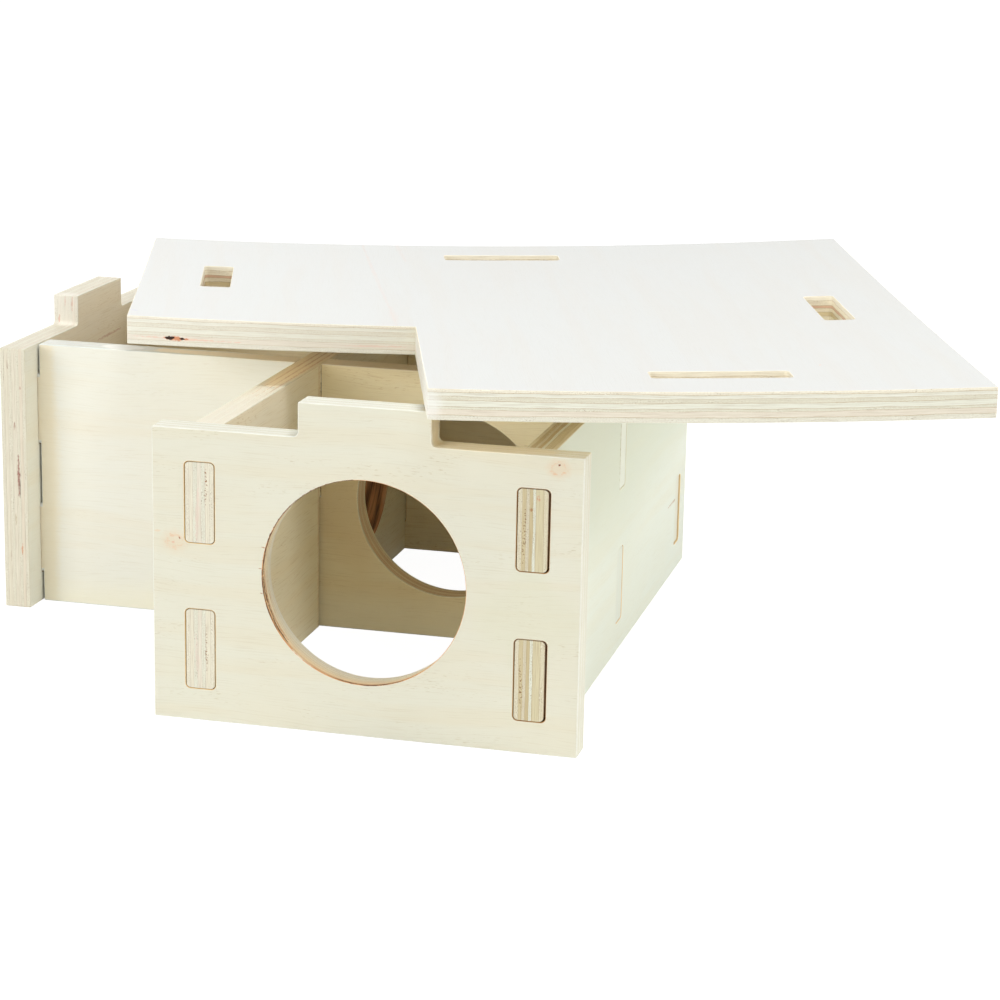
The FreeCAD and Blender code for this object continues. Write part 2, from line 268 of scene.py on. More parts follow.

# %% [markdown]
# ## Shared effect: face veneer
# Rotary-cut poplar veneer is almost white. What makes it wood is fine fibre along the grain, a few broad warm
# bands, and short dark flecks in loose groups. All of it is noise that is stretched along the grain. The group
# reads the board's own coordinates in millimetres: x along the grain, y across it, z through the thickness, so
# that the grain turns with the board and stays on it when it moves. The sides that face a room get a warmer and
# lighter tone, which is painted bounce light for the warm light thrown about between the walls, and lower down a
# darker one, which is painted shade. Every face carries a number, room_side, that says whether it is one of them.

# %% Veneer group
SEED_STEP = (37.0, 91.0, 0.0)
DRIFT_CELLS = (60.0, 26.0, 50.0)
DRIFT_WIDTH = 7.0
BAND_CELLS = (150.0, 9.0, 50.0)
BLOTCH_CELLS = (45.0, 30.0, 50.0)
FIBRE_CELLS = (16.0, 0.45, 9.0)
FLECK_CELLS = (2.6, 0.4, 9.0)
FLECK_AREA_CELLS = (34.0, 9.0, 50.0)
LOW_IN_ROOM, HIGH_IN_ROOM = 50.0, 95.0
ROOM_COARSENESS = 1.5
veneer_inputs = {
    "Board": "vector", "Seed": "value", "Pale": "colour",
    "Room side": "value", "Painted room tone": "colour", "Low painted shade tone": "colour",
    "Band tint": "colour", "Fleck tint": "colour",
    "Fibre amount": "value", "Band amount": "value", "Fleck amount": "value",
}
veneer, source, result = open_group("veneer", veneer_inputs, {"Color": "colour", "Height": "value"})

seed_shift = combine(veneer, "SCALE", SEED_STEP, scale=source["Seed"])
shifted = combine(veneer, "ADD", source["Board"], seed_shift)
drift = noise_value(veneer, shifted, DRIFT_CELLS, detail=1.0)
wander = add_node(veneer, "ShaderNodeCombineXYZ", {"Y": product(veneer, drift, DRIFT_WIDTH)}).outputs[0]
flowing = combine(veneer, "ADD", shifted, wander)

bands = remap(veneer, noise_value(veneer, flowing, BAND_CELLS), 0.42, 0.68)
blotches = remap(veneer, noise_value(veneer, shifted, BLOTCH_CELLS), 0.4, 0.75)
fibres = noise_value(veneer, flowing, FIBRE_CELLS, detail=3.0, roughness=0.6)
fleck_grain = remap(veneer, noise_value(veneer, flowing, FLECK_CELLS, detail=1.0), 0.62, 0.7)
fleck_areas = remap(veneer, noise_value(veneer, flowing, FLECK_AREA_CELLS), 0.5, 0.68)
flecks = product(veneer, fleck_grain, fleck_areas)

warmth = calculate(veneer, "MAXIMUM", bands, product(veneer, blotches, 0.6))
warmth = product(veneer, warmth, source["Band amount"])
# Painted light and shade: a face that looks into a room gets a warmer, lighter tone for the light bounced between
# the walls, and from 95 mm down to 50 mm it turns to a darker tone, for the shade low in a room.
height = add_node(veneer, "ShaderNodeSeparateXYZ", {0: source["Board"]}).outputs["Y"]
room_height = remap(veneer, height, LOW_IN_ROOM, HIGH_IN_ROOM)
painted_room_tone = mix_colour(veneer, room_height, source["Low painted shade tone"], source["Painted room tone"])
base = mix_colour(veneer, source["Room side"], source["Pale"], painted_room_tone)
colour = mix_colour(veneer, warmth, base, source["Band tint"], "MULTIPLY")
coarseness = calculate(veneer, "ADD", 1.0, product(veneer, source["Room side"], ROOM_COARSENESS))
fibre_shade = product(veneer, remap(veneer, fibres, 0.5, 0.75), source["Fibre amount"], coarseness)
colour = mix_colour(veneer, fibre_shade, colour, source["Fleck tint"], "MULTIPLY")
fleck_shade = product(veneer, flecks, source["Fleck amount"], coarseness)
colour = mix_colour(veneer, fleck_shade, colour, source["Fleck tint"], "MULTIPLY")
veneer.links.new(colour, result["Color"])
dents = calculate(veneer, "SUBTRACT", fibres, product(veneer, flecks, 0.6))
veneer.links.new(dents, result["Height"])
print("group", veneer.name, "has", len(veneer.nodes), "nodes")

# %% [markdown]
# ## Shared effect: a mark from one point to another
# Resin lines, scratches, the dark heart of a knot and a row of pits are all marks with a place, a length and a
# width, and so are the bands of painted light and painted shade on some faces and edges. The distance from a line
# between two points gives all of them. A mark narrows towards its ends. Noise bends it, thins it in places and, if
# asked, breaks it into dots. A wide mark is left even instead, because most wide marks are bands of painted light
# and painted shade, which have no ragged border. Placed in board millimetres, a mark stays on one side of the
# board, because its third coordinate counts too.

# %% Mark group
WIDEST_BEND = 2.5
EVEN_WIDTH = 8.0
EVEN_STRENGTH = 0.8
mark_inputs = {
    "Color": "colour", "Board": "vector", "Start": "vector", "End": "vector",
    "Width": "value", "Stain": "colour", "Amount": "value", "Dots": "value",
}
mark, source, result = open_group("mark", mark_inputs, {"Color": "colour"})

bend_noise = add_node(mark, "ShaderNodeTexNoise", {"Vector": source["Board"], "Scale": 0.7, "Detail": 3.0})
bends = combine(mark, "SUBTRACT", bend_noise.outputs["Color"], (0.5, 0.5, 0.5))
bend_size = calculate(mark, "MINIMUM", product(mark, source["Width"], 1.6), WIDEST_BEND)
bent = combine(mark, "ADD", source["Board"], combine(mark, "SCALE", bends, scale=bend_size))
along = combine(mark, "SUBTRACT", source["End"], source["Start"])
offset = combine(mark, "SUBTRACT", bent, source["Start"])
length_squared = calculate(mark, "MAXIMUM", combine(mark, "DOT_PRODUCT", along, along), 0.001)
travel = calculate(mark, "DIVIDE", combine(mark, "DOT_PRODUCT", offset, along), length_squared, clamp=True)
nearest = combine(mark, "SCALE", along, scale=travel)
distance = combine(mark, "LENGTH", combine(mark, "SUBTRACT", offset, nearest))
from_middle = calculate(mark, "ABSOLUTE", calculate(mark, "SUBTRACT", travel, 0.5))
narrowed = calculate(mark, "SUBTRACT", 1.0, product(mark, from_middle, 1.3))
half_width = product(mark, narrowed, source["Width"])
strength = remap(mark, calculate(mark, "DIVIDE", distance, half_width), 0.3, 1.0, 1.0, 0.0)
dot_noise = noise_value(mark, source["Board"], (0.6, 0.6, 0.6), detail=1.0)
dots = remap(mark, dot_noise, 0.5, 0.6, calculate(mark, "SUBTRACT", 1.0, source["Dots"]), 1.0)
faded = remap(mark, noise_value(mark, source["Board"], (9.0, 9.0, 9.0)), 0.35, 0.6, 0.55, 1.0)
evenness = calculate(mark, "DIVIDE", source["Width"], EVEN_WIDTH, clamp=True)
levelling = product(mark, calculate(mark, "SUBTRACT", EVEN_STRENGTH, faded), evenness)
faded = calculate(mark, "ADD", faded, levelling)
strength = product(mark, strength, dots, faded, source["Amount"])
mark.links.new(mix_colour(mark, strength, source["Color"], source["Stain"]), result["Color"])
print("group", mark.name, "has", len(mark.nodes), "nodes")

# %% [markdown]
# ## Shared effect: a knot
# A pin knot is a soft ring of tan fibres round a paler middle, with a fainter halo where the grain flows round.
# The ring is a bump in the distance from the knot's centre, and noise bends it out of round and breaks it.

# %% Knot group
KNOT_STRETCH = (0.85, 1.0, 1.0)
knot_inputs = {
    "Color": "colour", "Board": "vector", "Centre": "vector",
    "Radius": "value", "Ring": "colour", "Amount": "value",
}
knot, source, result = open_group("knot", knot_inputs, {"Color": "colour"})

offset = combine(knot, "SUBTRACT", source["Board"], source["Centre"])
spread = combine(knot, "MULTIPLY", offset, KNOT_STRETCH)
bend = noise_value(knot, source["Board"], (1.6, 1.2, 9.0), detail=3.0)
radii = calculate(knot, "DIVIDE", combine(knot, "LENGTH", spread), source["Radius"])
radii = calculate(knot, "ADD", radii, product(knot, calculate(knot, "SUBTRACT", bend, 0.5), 1.1))
from_ring = calculate(knot, "ABSOLUTE", calculate(knot, "SUBTRACT", radii, 1.0))
ring_band = remap(knot, from_ring, 0.0, 0.5, 1.0, 0.0)
halo = remap(knot, radii, 0.9, 2.4, 0.3, 0.0)
patchy = remap(knot, noise_value(knot, source["Board"], (1.9, 1.1, 9.0), detail=3.0), 0.35, 0.65, 0.1, 1.0)
rings = calculate(knot, "MAXIMUM", product(knot, ring_band, patchy), halo)
rings = product(knot, rings, source["Amount"])
knot.links.new(mix_colour(knot, rings, source["Color"], source["Ring"]), result["Color"])
print("group", knot.name, "has", len(knot.nodes), "nodes")

# %% [markdown]
# ## Shared effect: cut plies
# On a cut edge the plies show as stripes. Every second ply lies crosswise, so along one edge it shows its end
# grain, rough and pitted, where its neighbours show long, smooth streaks, and round the corner they swap. One
# group makes the depth through the board wander a little, so that a ramp of ply tones wavers as real plies do.
# The other roughens each ply by the way its grain is cut. A UV map called edge holds two things for every side
# face: how far along the edge a point is, and whether the edge is cut across the grain.

# %% Ply groups
def edge_surface(tree, board, run):
    """The depth through the board, and the place on its edge: along the run, and through the board."""
    depth = add_node(tree, "ShaderNodeSeparateXYZ", {0: board}).outputs["Z"]
    return depth, add_node(tree, "ShaderNodeCombineXYZ", {"X": run, "Y": depth}).outputs[0]


ply_depth, source, result = open_group("ply_depth", {"Board": "vector", "Run": "value"}, {"Depth": "value"})
depth, run_place = edge_surface(ply_depth, source["Board"], source["Run"])
waver = calculate(ply_depth, "SUBTRACT", noise_value(ply_depth, run_place, (19.0, 2.5, 1.0)), 0.5)
fuzz = calculate(ply_depth, "SUBTRACT", noise_value(ply_depth, run_place, (0.7, 0.5, 1.0)), 0.5)
shift = calculate(ply_depth, "ADD", product(ply_depth, waver, 0.9), product(ply_depth, fuzz, 0.2))
share = calculate(ply_depth, "DIVIDE", calculate(ply_depth, "ADD", depth, shift), PLY / MM)
ply_depth.links.new(share, result["Depth"])

TORN_FIBRE = tone(246, 244, 230)
cut_inputs = {
    "Board": "vector", "Run": "value", "Cut across": "value", "Tone": "colour", "Crosswise": "value",
    "Pit": "colour", "Roughness amount": "value",
}
cut_ply, source, result = open_group("cut_ply", cut_inputs, {"Color": "colour", "Height": "value"})
depth, run_place = edge_surface(cut_ply, source["Board"], source["Run"])
crosswise, across = source["Crosswise"], source["Cut across"]
either = calculate(cut_ply, "ADD", crosswise, across)
end_grain = calculate(cut_ply, "SUBTRACT", either, product(cut_ply, crosswise, across, 2.0))
streaks = noise_value(cut_ply, run_place, (11.0, 0.22, 1.0), detail=3.0, roughness=0.6)
specks = noise_value(cut_ply, run_place, (0.5, 0.4, 1.0), detail=3.0, roughness=0.7)
groups_of_pits = remap(cut_ply, noise_value(cut_ply, run_place, (9.0, 1.6, 1.0)), 0.45, 0.7)
pits = remap(cut_ply, specks, 0.56, 0.7)
pits = product(cut_ply, pits, groups_of_pits, end_grain, source["Roughness amount"])
streak_shade = remap(cut_ply, streaks, 0.42, 0.72, 0.0, 0.4)
speck_shade = product(cut_ply, remap(cut_ply, specks, 0.4, 0.75, 0.0, 0.4), end_grain)
shade = calculate(cut_ply, "MAXIMUM", streak_shade, speck_shade)
shade = product(cut_ply, shade, source["Roughness amount"])
colour = mix_colour(cut_ply, shade, source["Tone"], source["Pit"])
colour = mix_colour(cut_ply, pits, colour, source["Pit"])
fibre_ends = remap(cut_ply, noise_value(cut_ply, run_place, (1.1, 0.3, 1.0)), 0.6, 0.68)
torn = product(cut_ply, fibre_ends, groups_of_pits, end_grain, source["Roughness amount"])
colour = mix_colour(cut_ply, torn, colour, TORN_FIBRE)
cut_ply.links.new(colour, result["Color"])
height = calculate(cut_ply, "SUBTRACT", product(cut_ply, streaks, 0.5), product(cut_ply, pits, 1.5))
height = calculate(cut_ply, "ADD", height, product(cut_ply, specks, end_grain))
cut_ply.links.new(height, result["Height"])
print("groups", ply_depth.name, "and", cut_ply.name)

# %% [markdown]
# ## Shared effect: scorching
# A router bit rubs where it turns slowly, and burns the wood brown in streaks along its path. The scorch is a
# patchy noise stretched along the run of the edge. Thin burns are tan, thick ones nearly black, so the colour
# comes from how strong the burn is. Past a reach in millimetres from the first face it fades out, because the bit
# burns most where its lip rubs.

# %% Scorch group
scorch_inputs = {
    "Color": "colour", "Board": "vector", "Run": "value", "Amount": "value", "Reach": "value",
    "Thin burn": "colour", "Deep burn": "colour",
}
scorch, source, result = open_group("scorch", scorch_inputs, {"Color": "colour"})
depth, run_place = edge_surface(scorch, source["Board"], source["Run"])
patches = noise_value(scorch, run_place, (26.0, 3.5, 1.0))
lines = noise_value(scorch, run_place, (17.0, 0.6, 1.0), detail=3.0)
burn = calculate(scorch, "ADD", product(scorch, patches, 0.6), product(scorch, lines, 0.4))
burn = calculate(scorch, "ADD", burn, calculate(scorch, "SUBTRACT", source["Amount"], 0.5))
faded_depth = remap(scorch, calculate(scorch, "DIVIDE", depth, source["Reach"]), 0.7, 1.3, 0.0, 0.35)
burn = calculate(scorch, "SUBTRACT", burn, faded_depth)
thin = remap(scorch, burn, 0.35, 0.6)
deep = remap(scorch, burn, 0.55, 0.8)
colour = mix_colour(scorch, thin, source["Color"], source["Thin burn"])
scorch.links.new(mix_colour(scorch, deep, colour, source["Deep burn"]), result["Color"])
print("group", scorch.name, "has", len(scorch.nodes), "nodes")

# %% [markdown]
# ## Opening a material
# The Principled shader stays in the material, and only what changes over the surface comes out of the groups. Bare
# sanded wood is matt: its roughness is one number, set on the shader itself. Marks are laid over the finished
# colour one after another, so a later one covers an earlier one.

# %% Material helpers
BARE_WOOD_ROUGHNESS = 0.62
BARE_WOOD_SHEEN = 0.3


def open_material(name):
    """A new matt wood material. Returns it, its tree, its shader and the board's place in millimetres."""
    material = bpy.data.materials.new(name)
    material.use_nodes = True
    tree = material.node_tree
    shader = tree.nodes["Principled BSDF"]
    shader.inputs["Roughness"].default_value = BARE_WOOD_ROUGHNESS
    shader.inputs["Specular IOR Level"].default_value = BARE_WOOD_SHEEN
    place = add_node(tree, "ShaderNodeAttribute", attribute_name="board", attribute_type="GEOMETRY")
    millimetres = combine(tree, "SCALE", place.outputs["Vector"], scale=1 / MM)
    return material, tree, shader, millimetres


def add_marks(tree, colour, board, marks):
    """Lays marks over a colour. A knot is (centre, radius, ring, amount).

    Any other mark is (start, end, width, stain, amount), with a share of dots after it where it is broken up.
    """
    for each in marks:
        if len(each) == 4:
            keys = ("Centre", "Radius", "Ring", "Amount")
            group = knot
        else:
            keys = ("Start", "End", "Width", "Stain", "Amount", "Dots")
            group = mark
        colour = place_group(tree, group, {"Color": colour, "Board": board, **dict(zip(keys, each))})["Color"]
    return colour


def add_bump(tree, shader, height, depth):
    """Turns a height into the shader's normal. Depth is what a height of 1 stands for."""
    bump = add_node(tree, "ShaderNodeBump", {"Height": height, "Distance": depth, "Strength": 1.0})
    tree.links.new(bump.outputs["Normal"], shader.inputs["Normal"])


print("bare wood roughness", BARE_WOOD_ROUGHNESS)

# %% [markdown]
# ## Face veneer
# Each board has its own tones, because no two sheets of veneer match, and its own seed, so that no pattern repeats.
# A dent of a few hundredths of a millimetre along the fibres is enough for sanded wood to catch the light.

# %% Veneer material
BAND_TINT = tone(254, 246, 234)
FLECK_TINT = tone(214, 200, 170)
VENEER_RELIEF = 0.06 * MM


def veneer_material(name, seed, pale, painted_room_tone, low_painted_shade_tone=None, band_tint=BAND_TINT,
                    fibre=0.16, band=0.4, flecks=0.2, marks=()):
    """Face veneer with its own tones, marks and knots. The room side gets painted bounce light, and a darker
    painted shade low down.
    """
    material, tree, shader, board = open_material(name)
    side = add_node(tree, "ShaderNodeAttribute", attribute_name="room_side", attribute_type="GEOMETRY")
    made = place_group(tree, veneer, {
        "Board": board, "Seed": seed, "Pale": pale, "Room side": side.outputs["Fac"],
        "Painted room tone": painted_room_tone, "Low painted shade tone": low_painted_shade_tone or painted_room_tone,
        "Band tint": band_tint, "Fleck tint": FLECK_TINT,
        "Fibre amount": fibre, "Band amount": band, "Fleck amount": flecks,
    })
    colour = add_marks(tree, made["Color"], board, marks)
    tree.links.new(colour, shader.inputs["Base Color"])
    add_bump(tree, shader, made["Height"], VENEER_RELIEF)
    return material


print("veneer dents are", round(VENEER_RELIEF / MM, 2), "mm deep")

# %% [markdown]
# ## Cut plies
# The plies of an edge are a colour ramp over the depth through the board, with hard steps and a hairline of glue
# between them. The ramp's alpha isn't needed for transparency, so it carries which plies lie crosswise: every
# second one.

# %% Edge material
PIT = tone(160, 132, 96)
GLUE_LINE = 0.14  # mm
CUT_RELIEF = 0.12 * MM


def ply_stops(plies, glue):
    """Where each ply and each glue line starts, as a share of the thickness, with its colour."""
    total = sum(thickness for thickness, _ in plies)
    glue_share = GLUE_LINE / total
    stops = []
    reached = 0.0
    for number, (thickness, ply_tone) in enumerate(plies):
        crosswise = number % 2
        if reached:
            stops.append((reached / total - glue_share / 2, (*glue[:3], crosswise)))
        stops.append((reached / total + (glue_share / 2 if reached else 0), (*ply_tone[:3], crosswise)))
        reached += thickness
    return stops


def edge_material(name, plies, glue, roughness=1.0, burn=None, marks=()):
    """Plies, each (thickness in mm, tone), the first lengthwise. Burn is (amount, thin, deep, reach)."""
    material, tree, shader, board = open_material(name)
    edge = add_node(tree, "ShaderNodeUVMap", uv_map="edge")
    edge_place = add_node(tree, "ShaderNodeSeparateXYZ", {0: edge.outputs["UV"]})
    run = calculate(tree, "DIVIDE", edge_place.outputs["X"], MM)
    depth = place_group(tree, ply_depth, {"Board": board, "Run": run})["Depth"]
    ramp_node = add_node(tree, "ShaderNodeValToRGB", {"Fac": depth})
    ramp = ramp_node.color_ramp
    ramp.interpolation = "CONSTANT"
    stops = ply_stops(plies, glue)
    while len(ramp.elements) < len(stops):
        ramp.elements.new(1.0)
    for element, (position, colour) in zip(ramp.elements, stops):
        element.position = position
        element.color = colour
    made = place_group(tree, cut_ply, {
        "Board": board, "Run": run, "Cut across": edge_place.outputs["Y"], "Tone": ramp_node.outputs["Color"],
        "Crosswise": ramp_node.outputs["Alpha"], "Pit": PIT, "Roughness amount": roughness,
    })
    colour = made["Color"]
    if burn:
        amount, thin_burn, deep_burn, reach = burn
        colour = place_group(tree, scorch, {
            "Color": colour, "Board": board, "Run": run, "Reach": reach,
            "Amount": amount, "Thin burn": thin_burn, "Deep burn": deep_burn,
        })["Color"]
    colour = add_marks(tree, colour, board, marks)
    tree.links.new(colour, shader.inputs["Base Color"])
    add_bump(tree, shader, made["Height"], CUT_RELIEF)
    return material


print("glue lines are", GLUE_LINE, "mm wide")

# %% [markdown]
# ## Outlines
# Every board is a flat outline with holes, because a router cuts straight down. An outline is a list of corners,
# each with a radius: the router leaves its own radius in an inner corner, and sanding takes the sharpness off an
# outer one. The sides of a tenon are named, because their long edges are rounded more, to fit the mortise.

# %% Outline helpers
SANDED_CORNER = 0.55 * MM
LONGEST_STEP = 5 * MM
CORNER_STEPS = 8
RING_STEPS = 120
PLAIN, FITTED, TENON_SIDE, FLARED = "plain", "fitted", "tenon side", "flared"


def rounded(corners):
    """The outline's points, each with the kind of the edge after it. A corner is (x, y, radius, kind)."""
    made = []
    count = len(corners)
    for number, (x, y, radius, kind) in enumerate(corners):
        here = Vector((x, y))
        before = Vector(corners[number - 1][:2]) - here
        after = Vector(corners[(number + 1) % count][:2]) - here
        if not radius:
            made.append((here, kind))
            continue
        half_angle = before.angle(after) / 2
        inwards = (before.normalized() + after.normalized()).normalized()
        middle = here + inwards * radius / math.sin(half_angle)
        start = here + before.normalized() * radius / math.tan(half_angle) - middle
        turn = math.pi - 2 * half_angle
        if before.x * after.y - before.y * after.x > 0:
            turn = -turn
        for step in range(CORNER_STEPS + 1):
            arm = Matrix.Rotation(turn * step / CORNER_STEPS, 2) @ start
            made.append((middle + arm, kind if step == CORNER_STEPS or kind == FITTED else PLAIN))
    return made


def ring(x, y, radius, kind=FITTED):
    """A round opening, run the other way about, as a hole is."""
    turns = [-math.tau * step / RING_STEPS for step in range(RING_STEPS)]
    return [(Vector((x + radius * math.cos(turn), y + radius * math.sin(turn))), kind) for turn in turns]


def slot_hole(left, right, low, high):
    """A routed hole with the cutter's radius in its corners, run the other way about."""
    corners = ((left, low), (left, high), (right, high), (right, low))
    return rounded([(x, y, CUTTER_RADIUS, FITTED) for x, y in corners])


def stepped(points):
    """The same outline with no edge longer than LONGEST_STEP, so that it can waver."""
    made = []
    for number, (here, kind) in enumerate(points):
        following = points[(number + 1) % len(points)][0]
        pieces = max(1, math.ceil((following - here).length / LONGEST_STEP))
        for piece in range(pieces):
            made.append((here.lerp(following, piece / pieces), kind))
    return made


print("a round opening has", len(ring(0, 0, OPENING_RADIUS)), "points")

# %% [markdown]
# ## The outline of a wall
# All six walls are variations on one outline: a rectangle with or without tenons at each end, a lid tab on top and
# a notch for the halved crossing. So one function draws them all, and another cuts the mortises for a wall that
# comes through.

# %% Walls and mortises
def wall_outline(start, end, tab=None, start_tip=None, end_tip=None, lap=None):
    """A wall from start to end. A tip is where its tenons end; a lap is the notch, 'below' or 'above'."""
    notch = HALF_PLY + (LOWER_LAP_GAP if lap == "below" else LAP_GAP)
    half_height = WALL_HEIGHT / 2
    corners = [(start, 0, SANDED_CORNER, PLAIN)]
    if lap == "below":
        corners += [(-notch, 0, 0, FITTED), (-notch, half_height, 0, FITTED)]
        corners += [(notch, half_height, 0, FITTED), (notch, 0, 0, PLAIN)]
    corners.append((end, 0, SANDED_CORNER, PLAIN))
    if end_tip is not None:
        for low, high in TENON_LEVELS:
            corners += [(end, low, 0, TENON_SIDE), (end_tip, low, 0, FITTED)]
            corners += [(end_tip, high, 0, TENON_SIDE), (end, high, 0, PLAIN)]
    corners.append((end, WALL_HEIGHT, SANDED_CORNER, PLAIN))
    if tab is not None:
        left, right, top = tab - TAB_LENGTH / 2, tab + TAB_LENGTH / 2, WALL_HEIGHT + TAB_HEIGHT
        corners += [(right, WALL_HEIGHT, CUTTER_RADIUS, PLAIN), (right, top, SANDED_CORNER, PLAIN)]
        corners += [(left, top, SANDED_CORNER, PLAIN), (left, WALL_HEIGHT, CUTTER_RADIUS, PLAIN)]
    if lap == "above":
        corners += [(notch, WALL_HEIGHT, 0, FITTED), (notch, half_height, 0, FITTED)]
        corners += [(-notch, half_height, 0, FITTED), (-notch, WALL_HEIGHT, 0, PLAIN)]
    corners.append((start, WALL_HEIGHT, SANDED_CORNER, PLAIN))
    if start_tip is not None:
        for low, high in reversed(TENON_LEVELS):
            corners += [(start, high, 0, TENON_SIDE), (start_tip, high, 0, FITTED)]
            corners += [(start_tip, low, 0, TENON_SIDE), (start, low, 0, PLAIN)]
    return rounded(corners)


def mortises(middle, near_gap=TENON_GAP, far_gap=TENON_GAP):
    """The two mortises for a crossing board's tenons, with the gap on each side of them."""
    near, far = middle - HALF_PLY - near_gap, middle + HALF_PLY + far_gap
    return [slot_hole(near, far, low - HEIGHT_GAP, high + HEIGHT_GAP) for low, high in TENON_LEVELS]


print("a mortise has", len(mortises(0)[0]), "points")

# %% [markdown]
# ## The profile of a cut edge
# Extruding an outline gives a dead, razor-sharp slab. A real cut edge has rounded arrises where it was sanded, a
# hairline groove at each glue line, and plies that stand a few hundredths proud of each other. So the board is
# lofted instead: the same outline is repeated at many depths, each time drawn in a little by a profile. No bevel
# modifier is needed, and tenons can have a rounder profile than the rest of the same outline.

# %% Edge profile
ARRIS = 0.3 * MM
FITTED_ARRIS = 0.2 * MM
TENON_ROUND = CUTTER_RADIUS - HEIGHT_GAP
ROUNDING = {PLAIN: ARRIS, FITTED: FITTED_ARRIS, TENON_SIDE: TENON_ROUND, FLARED: FITTED_ARRIS}
GLUE_GROOVE = 0.06 * MM
GLUE_HALF_WIDTH = 0.05 * MM
WAVER = 0.09 * MM
PLY_RELIEF = 0.07 * MM
WAVER_CELL = 14 * MM
RELIEF_CELL = 6 * MM
WAVER_SEED_STEP = 100 * MM
RELIEF_SEED_STEP = 50 * MM
FITTED_SHARE = 0.25
PLY_COUNT = 7
NEARLY_STRAIGHT = 0.3


def depth_levels():
    """The depths of the rings: close together at the arrises and at the glue lines."""
    levels = {0.0, PLY}
    for radius, degrees in ((ARRIS, (45, 90)), (FITTED_ARRIS, (90,)), (TENON_ROUND, (30, 60, 90))):
        for angle in degrees:
            depth = radius * (1 - math.cos(math.radians(angle)))
            levels |= {depth, PLY - depth}
    for number in range(1, PLY_COUNT):
        line = PLY * number / PLY_COUNT
        levels |= {line - GLUE_HALF_WIDTH, line, line + GLUE_HALF_WIDTH}
    return sorted(levels)


def drawn_in(depth, kind, place, seed):
    """How far inside the outline the surface lies, at that depth and that point of the outline."""
    radius = ROUNDING[kind]
    from_face = min(depth, PLY - depth)
    inset = 0.0
    if from_face < radius:
        inset = radius - math.sqrt(radius ** 2 - (radius - from_face) ** 2)
    if kind == FLARED:
        inset += DOORWAY_FLARE * depth / PLY
    lines = depth / (PLY / PLY_COUNT)
    unevenness = 0.0
    if 0.5 < lines < PLY_COUNT - 0.5 and abs(lines - round(lines)) < 0.001:
        unevenness += GLUE_GROOVE
    spot = Vector((place.x, place.y, seed * WAVER_SEED_STEP)) / WAVER_CELL
    unevenness += WAVER * (0.5 + 0.5 * noise.noise(spot))
    finer = Vector((place.x, place.y, (seed + 3 * int(lines)) * RELIEF_SEED_STEP)) / RELIEF_CELL
    unevenness += PLY_RELIEF * (0.5 + 0.5 * noise.noise(finer))
    return inset + unevenness * (1 if kind == PLAIN else FITTED_SHARE)


def outward(start, end):
    """The direction out of the wood, across an edge of an outline."""
    edge = (end - start).normalized()
    return Vector((edge.y, -edge.x))


def drawn_point(points, number, depth, seed):
    """An outline's point at a depth: where its two edges meet once each is drawn in by its own amount."""
    here, kind = points[number]
    before, kind_before = points[number - 1]
    after = points[(number + 1) % len(points)][0]
    first, second = outward(before, here), outward(here, after)
    first_inset = drawn_in(depth, kind_before, here, seed)
    second_inset = drawn_in(depth, kind, here, seed)
    turn = first.x * second.y - first.y * second.x
    if abs(turn) < NEARLY_STRAIGHT:
        return here - (first + second).normalized() * (first_inset + second_inset) / 2
    move_x = (second_inset * first.y - first_inset * second.y) / turn
    move_y = (first_inset * second.x - second_inset * first.x) / turn
    return here + Vector((move_x, move_y))


print("rings at", [round(level / MM, 2) for level in depth_levels()], "mm")

# %% [markdown]
# ## Filling the two faces
# A face of a board has holes in it, so one polygon can't fill it. A Delaunay division lays triangles between all
# the rims, also across the holes, and those whose middle isn't in the wood are left out.

# %% Face filler
SAME_POINT = 1e-7


def is_in_wood(spot, loops):
    """Whether a spot is inside the outline and outside the holes: a line from it crosses an odd number."""
    crossings = 0
    for loop in loops:
        for number, here in enumerate(loop):
            before = loop[number - 1]
            if (here.y > spot.y) != (before.y > spot.y):
                share = (spot.y - before.y) / (here.y - before.y)
                crossings += before.x + share * (here.x - before.x) > spot.x
    return crossings % 2 == 1


def fill_face(bm, rims):
    """Fills a face of a board with triangles between the rim of its outline and those of its holes."""
    corners = [vertex for rim in rims for vertex in rim]
    loops = [[vertex.co.xy for vertex in rim] for rim in rims]
    edges = []
    for rim in rims:
        first = len(edges)
        edges += [(first + number, first + (number + 1) % len(rim)) for number in range(len(rim))]
    spots = [vertex.co.xy for vertex in corners]
    points, _, triangles, origins, _, _ = delaunay_2d_cdt(spots, edges, [], 1, SAME_POINT)
    for triangle in triangles:
        middle = sum((points[corner] for corner in triangle), Vector((0, 0))) / 3
        if is_in_wood(middle, loops):
            bm.faces.new([corners[origins[corner][0]] for corner in triangle])


def faces_room(face):
    """1 for a face of a board that looks into one of the rooms, or down on them, and 0 for all others."""
    spot = face.calc_center_median() + face.normal * HALF_PLY
    if face.material_index or face.normal.z > 0.5:
        return 0.0
    if face.normal.z < -0.5:
        return 1.0
    in_right_rooms = 0 < spot.x < FRONT_BAY and abs(spot.y) < DEPTH_BAY
    in_wing = -LEFT_BAY < spot.x <= 0 < spot.y < DEPTH_BAY
    return 1.0 if in_right_rooms or in_wing else 0.0


square = [Vector(corner) for corner in ((0, 0), (1, 0), (1, 1), (0, 1))]
print("the middle of a square of wood is in the wood:", is_in_wood(Vector((0.5, 0.5)), [square]))

# %% [markdown]
# ## The board maker
# The rings of an outline are joined into its edge, hole by hole, and the faces are filled. Only then is the flat
# board put in its place in the house, so that bent and upright boards are made the same way. Each point keeps its
# place on the flat board in an attribute, which the materials read.

# %% Board maker
SHARP_ANGLE = math.radians(15)
ON_THE_LINE = 0.01 * MM


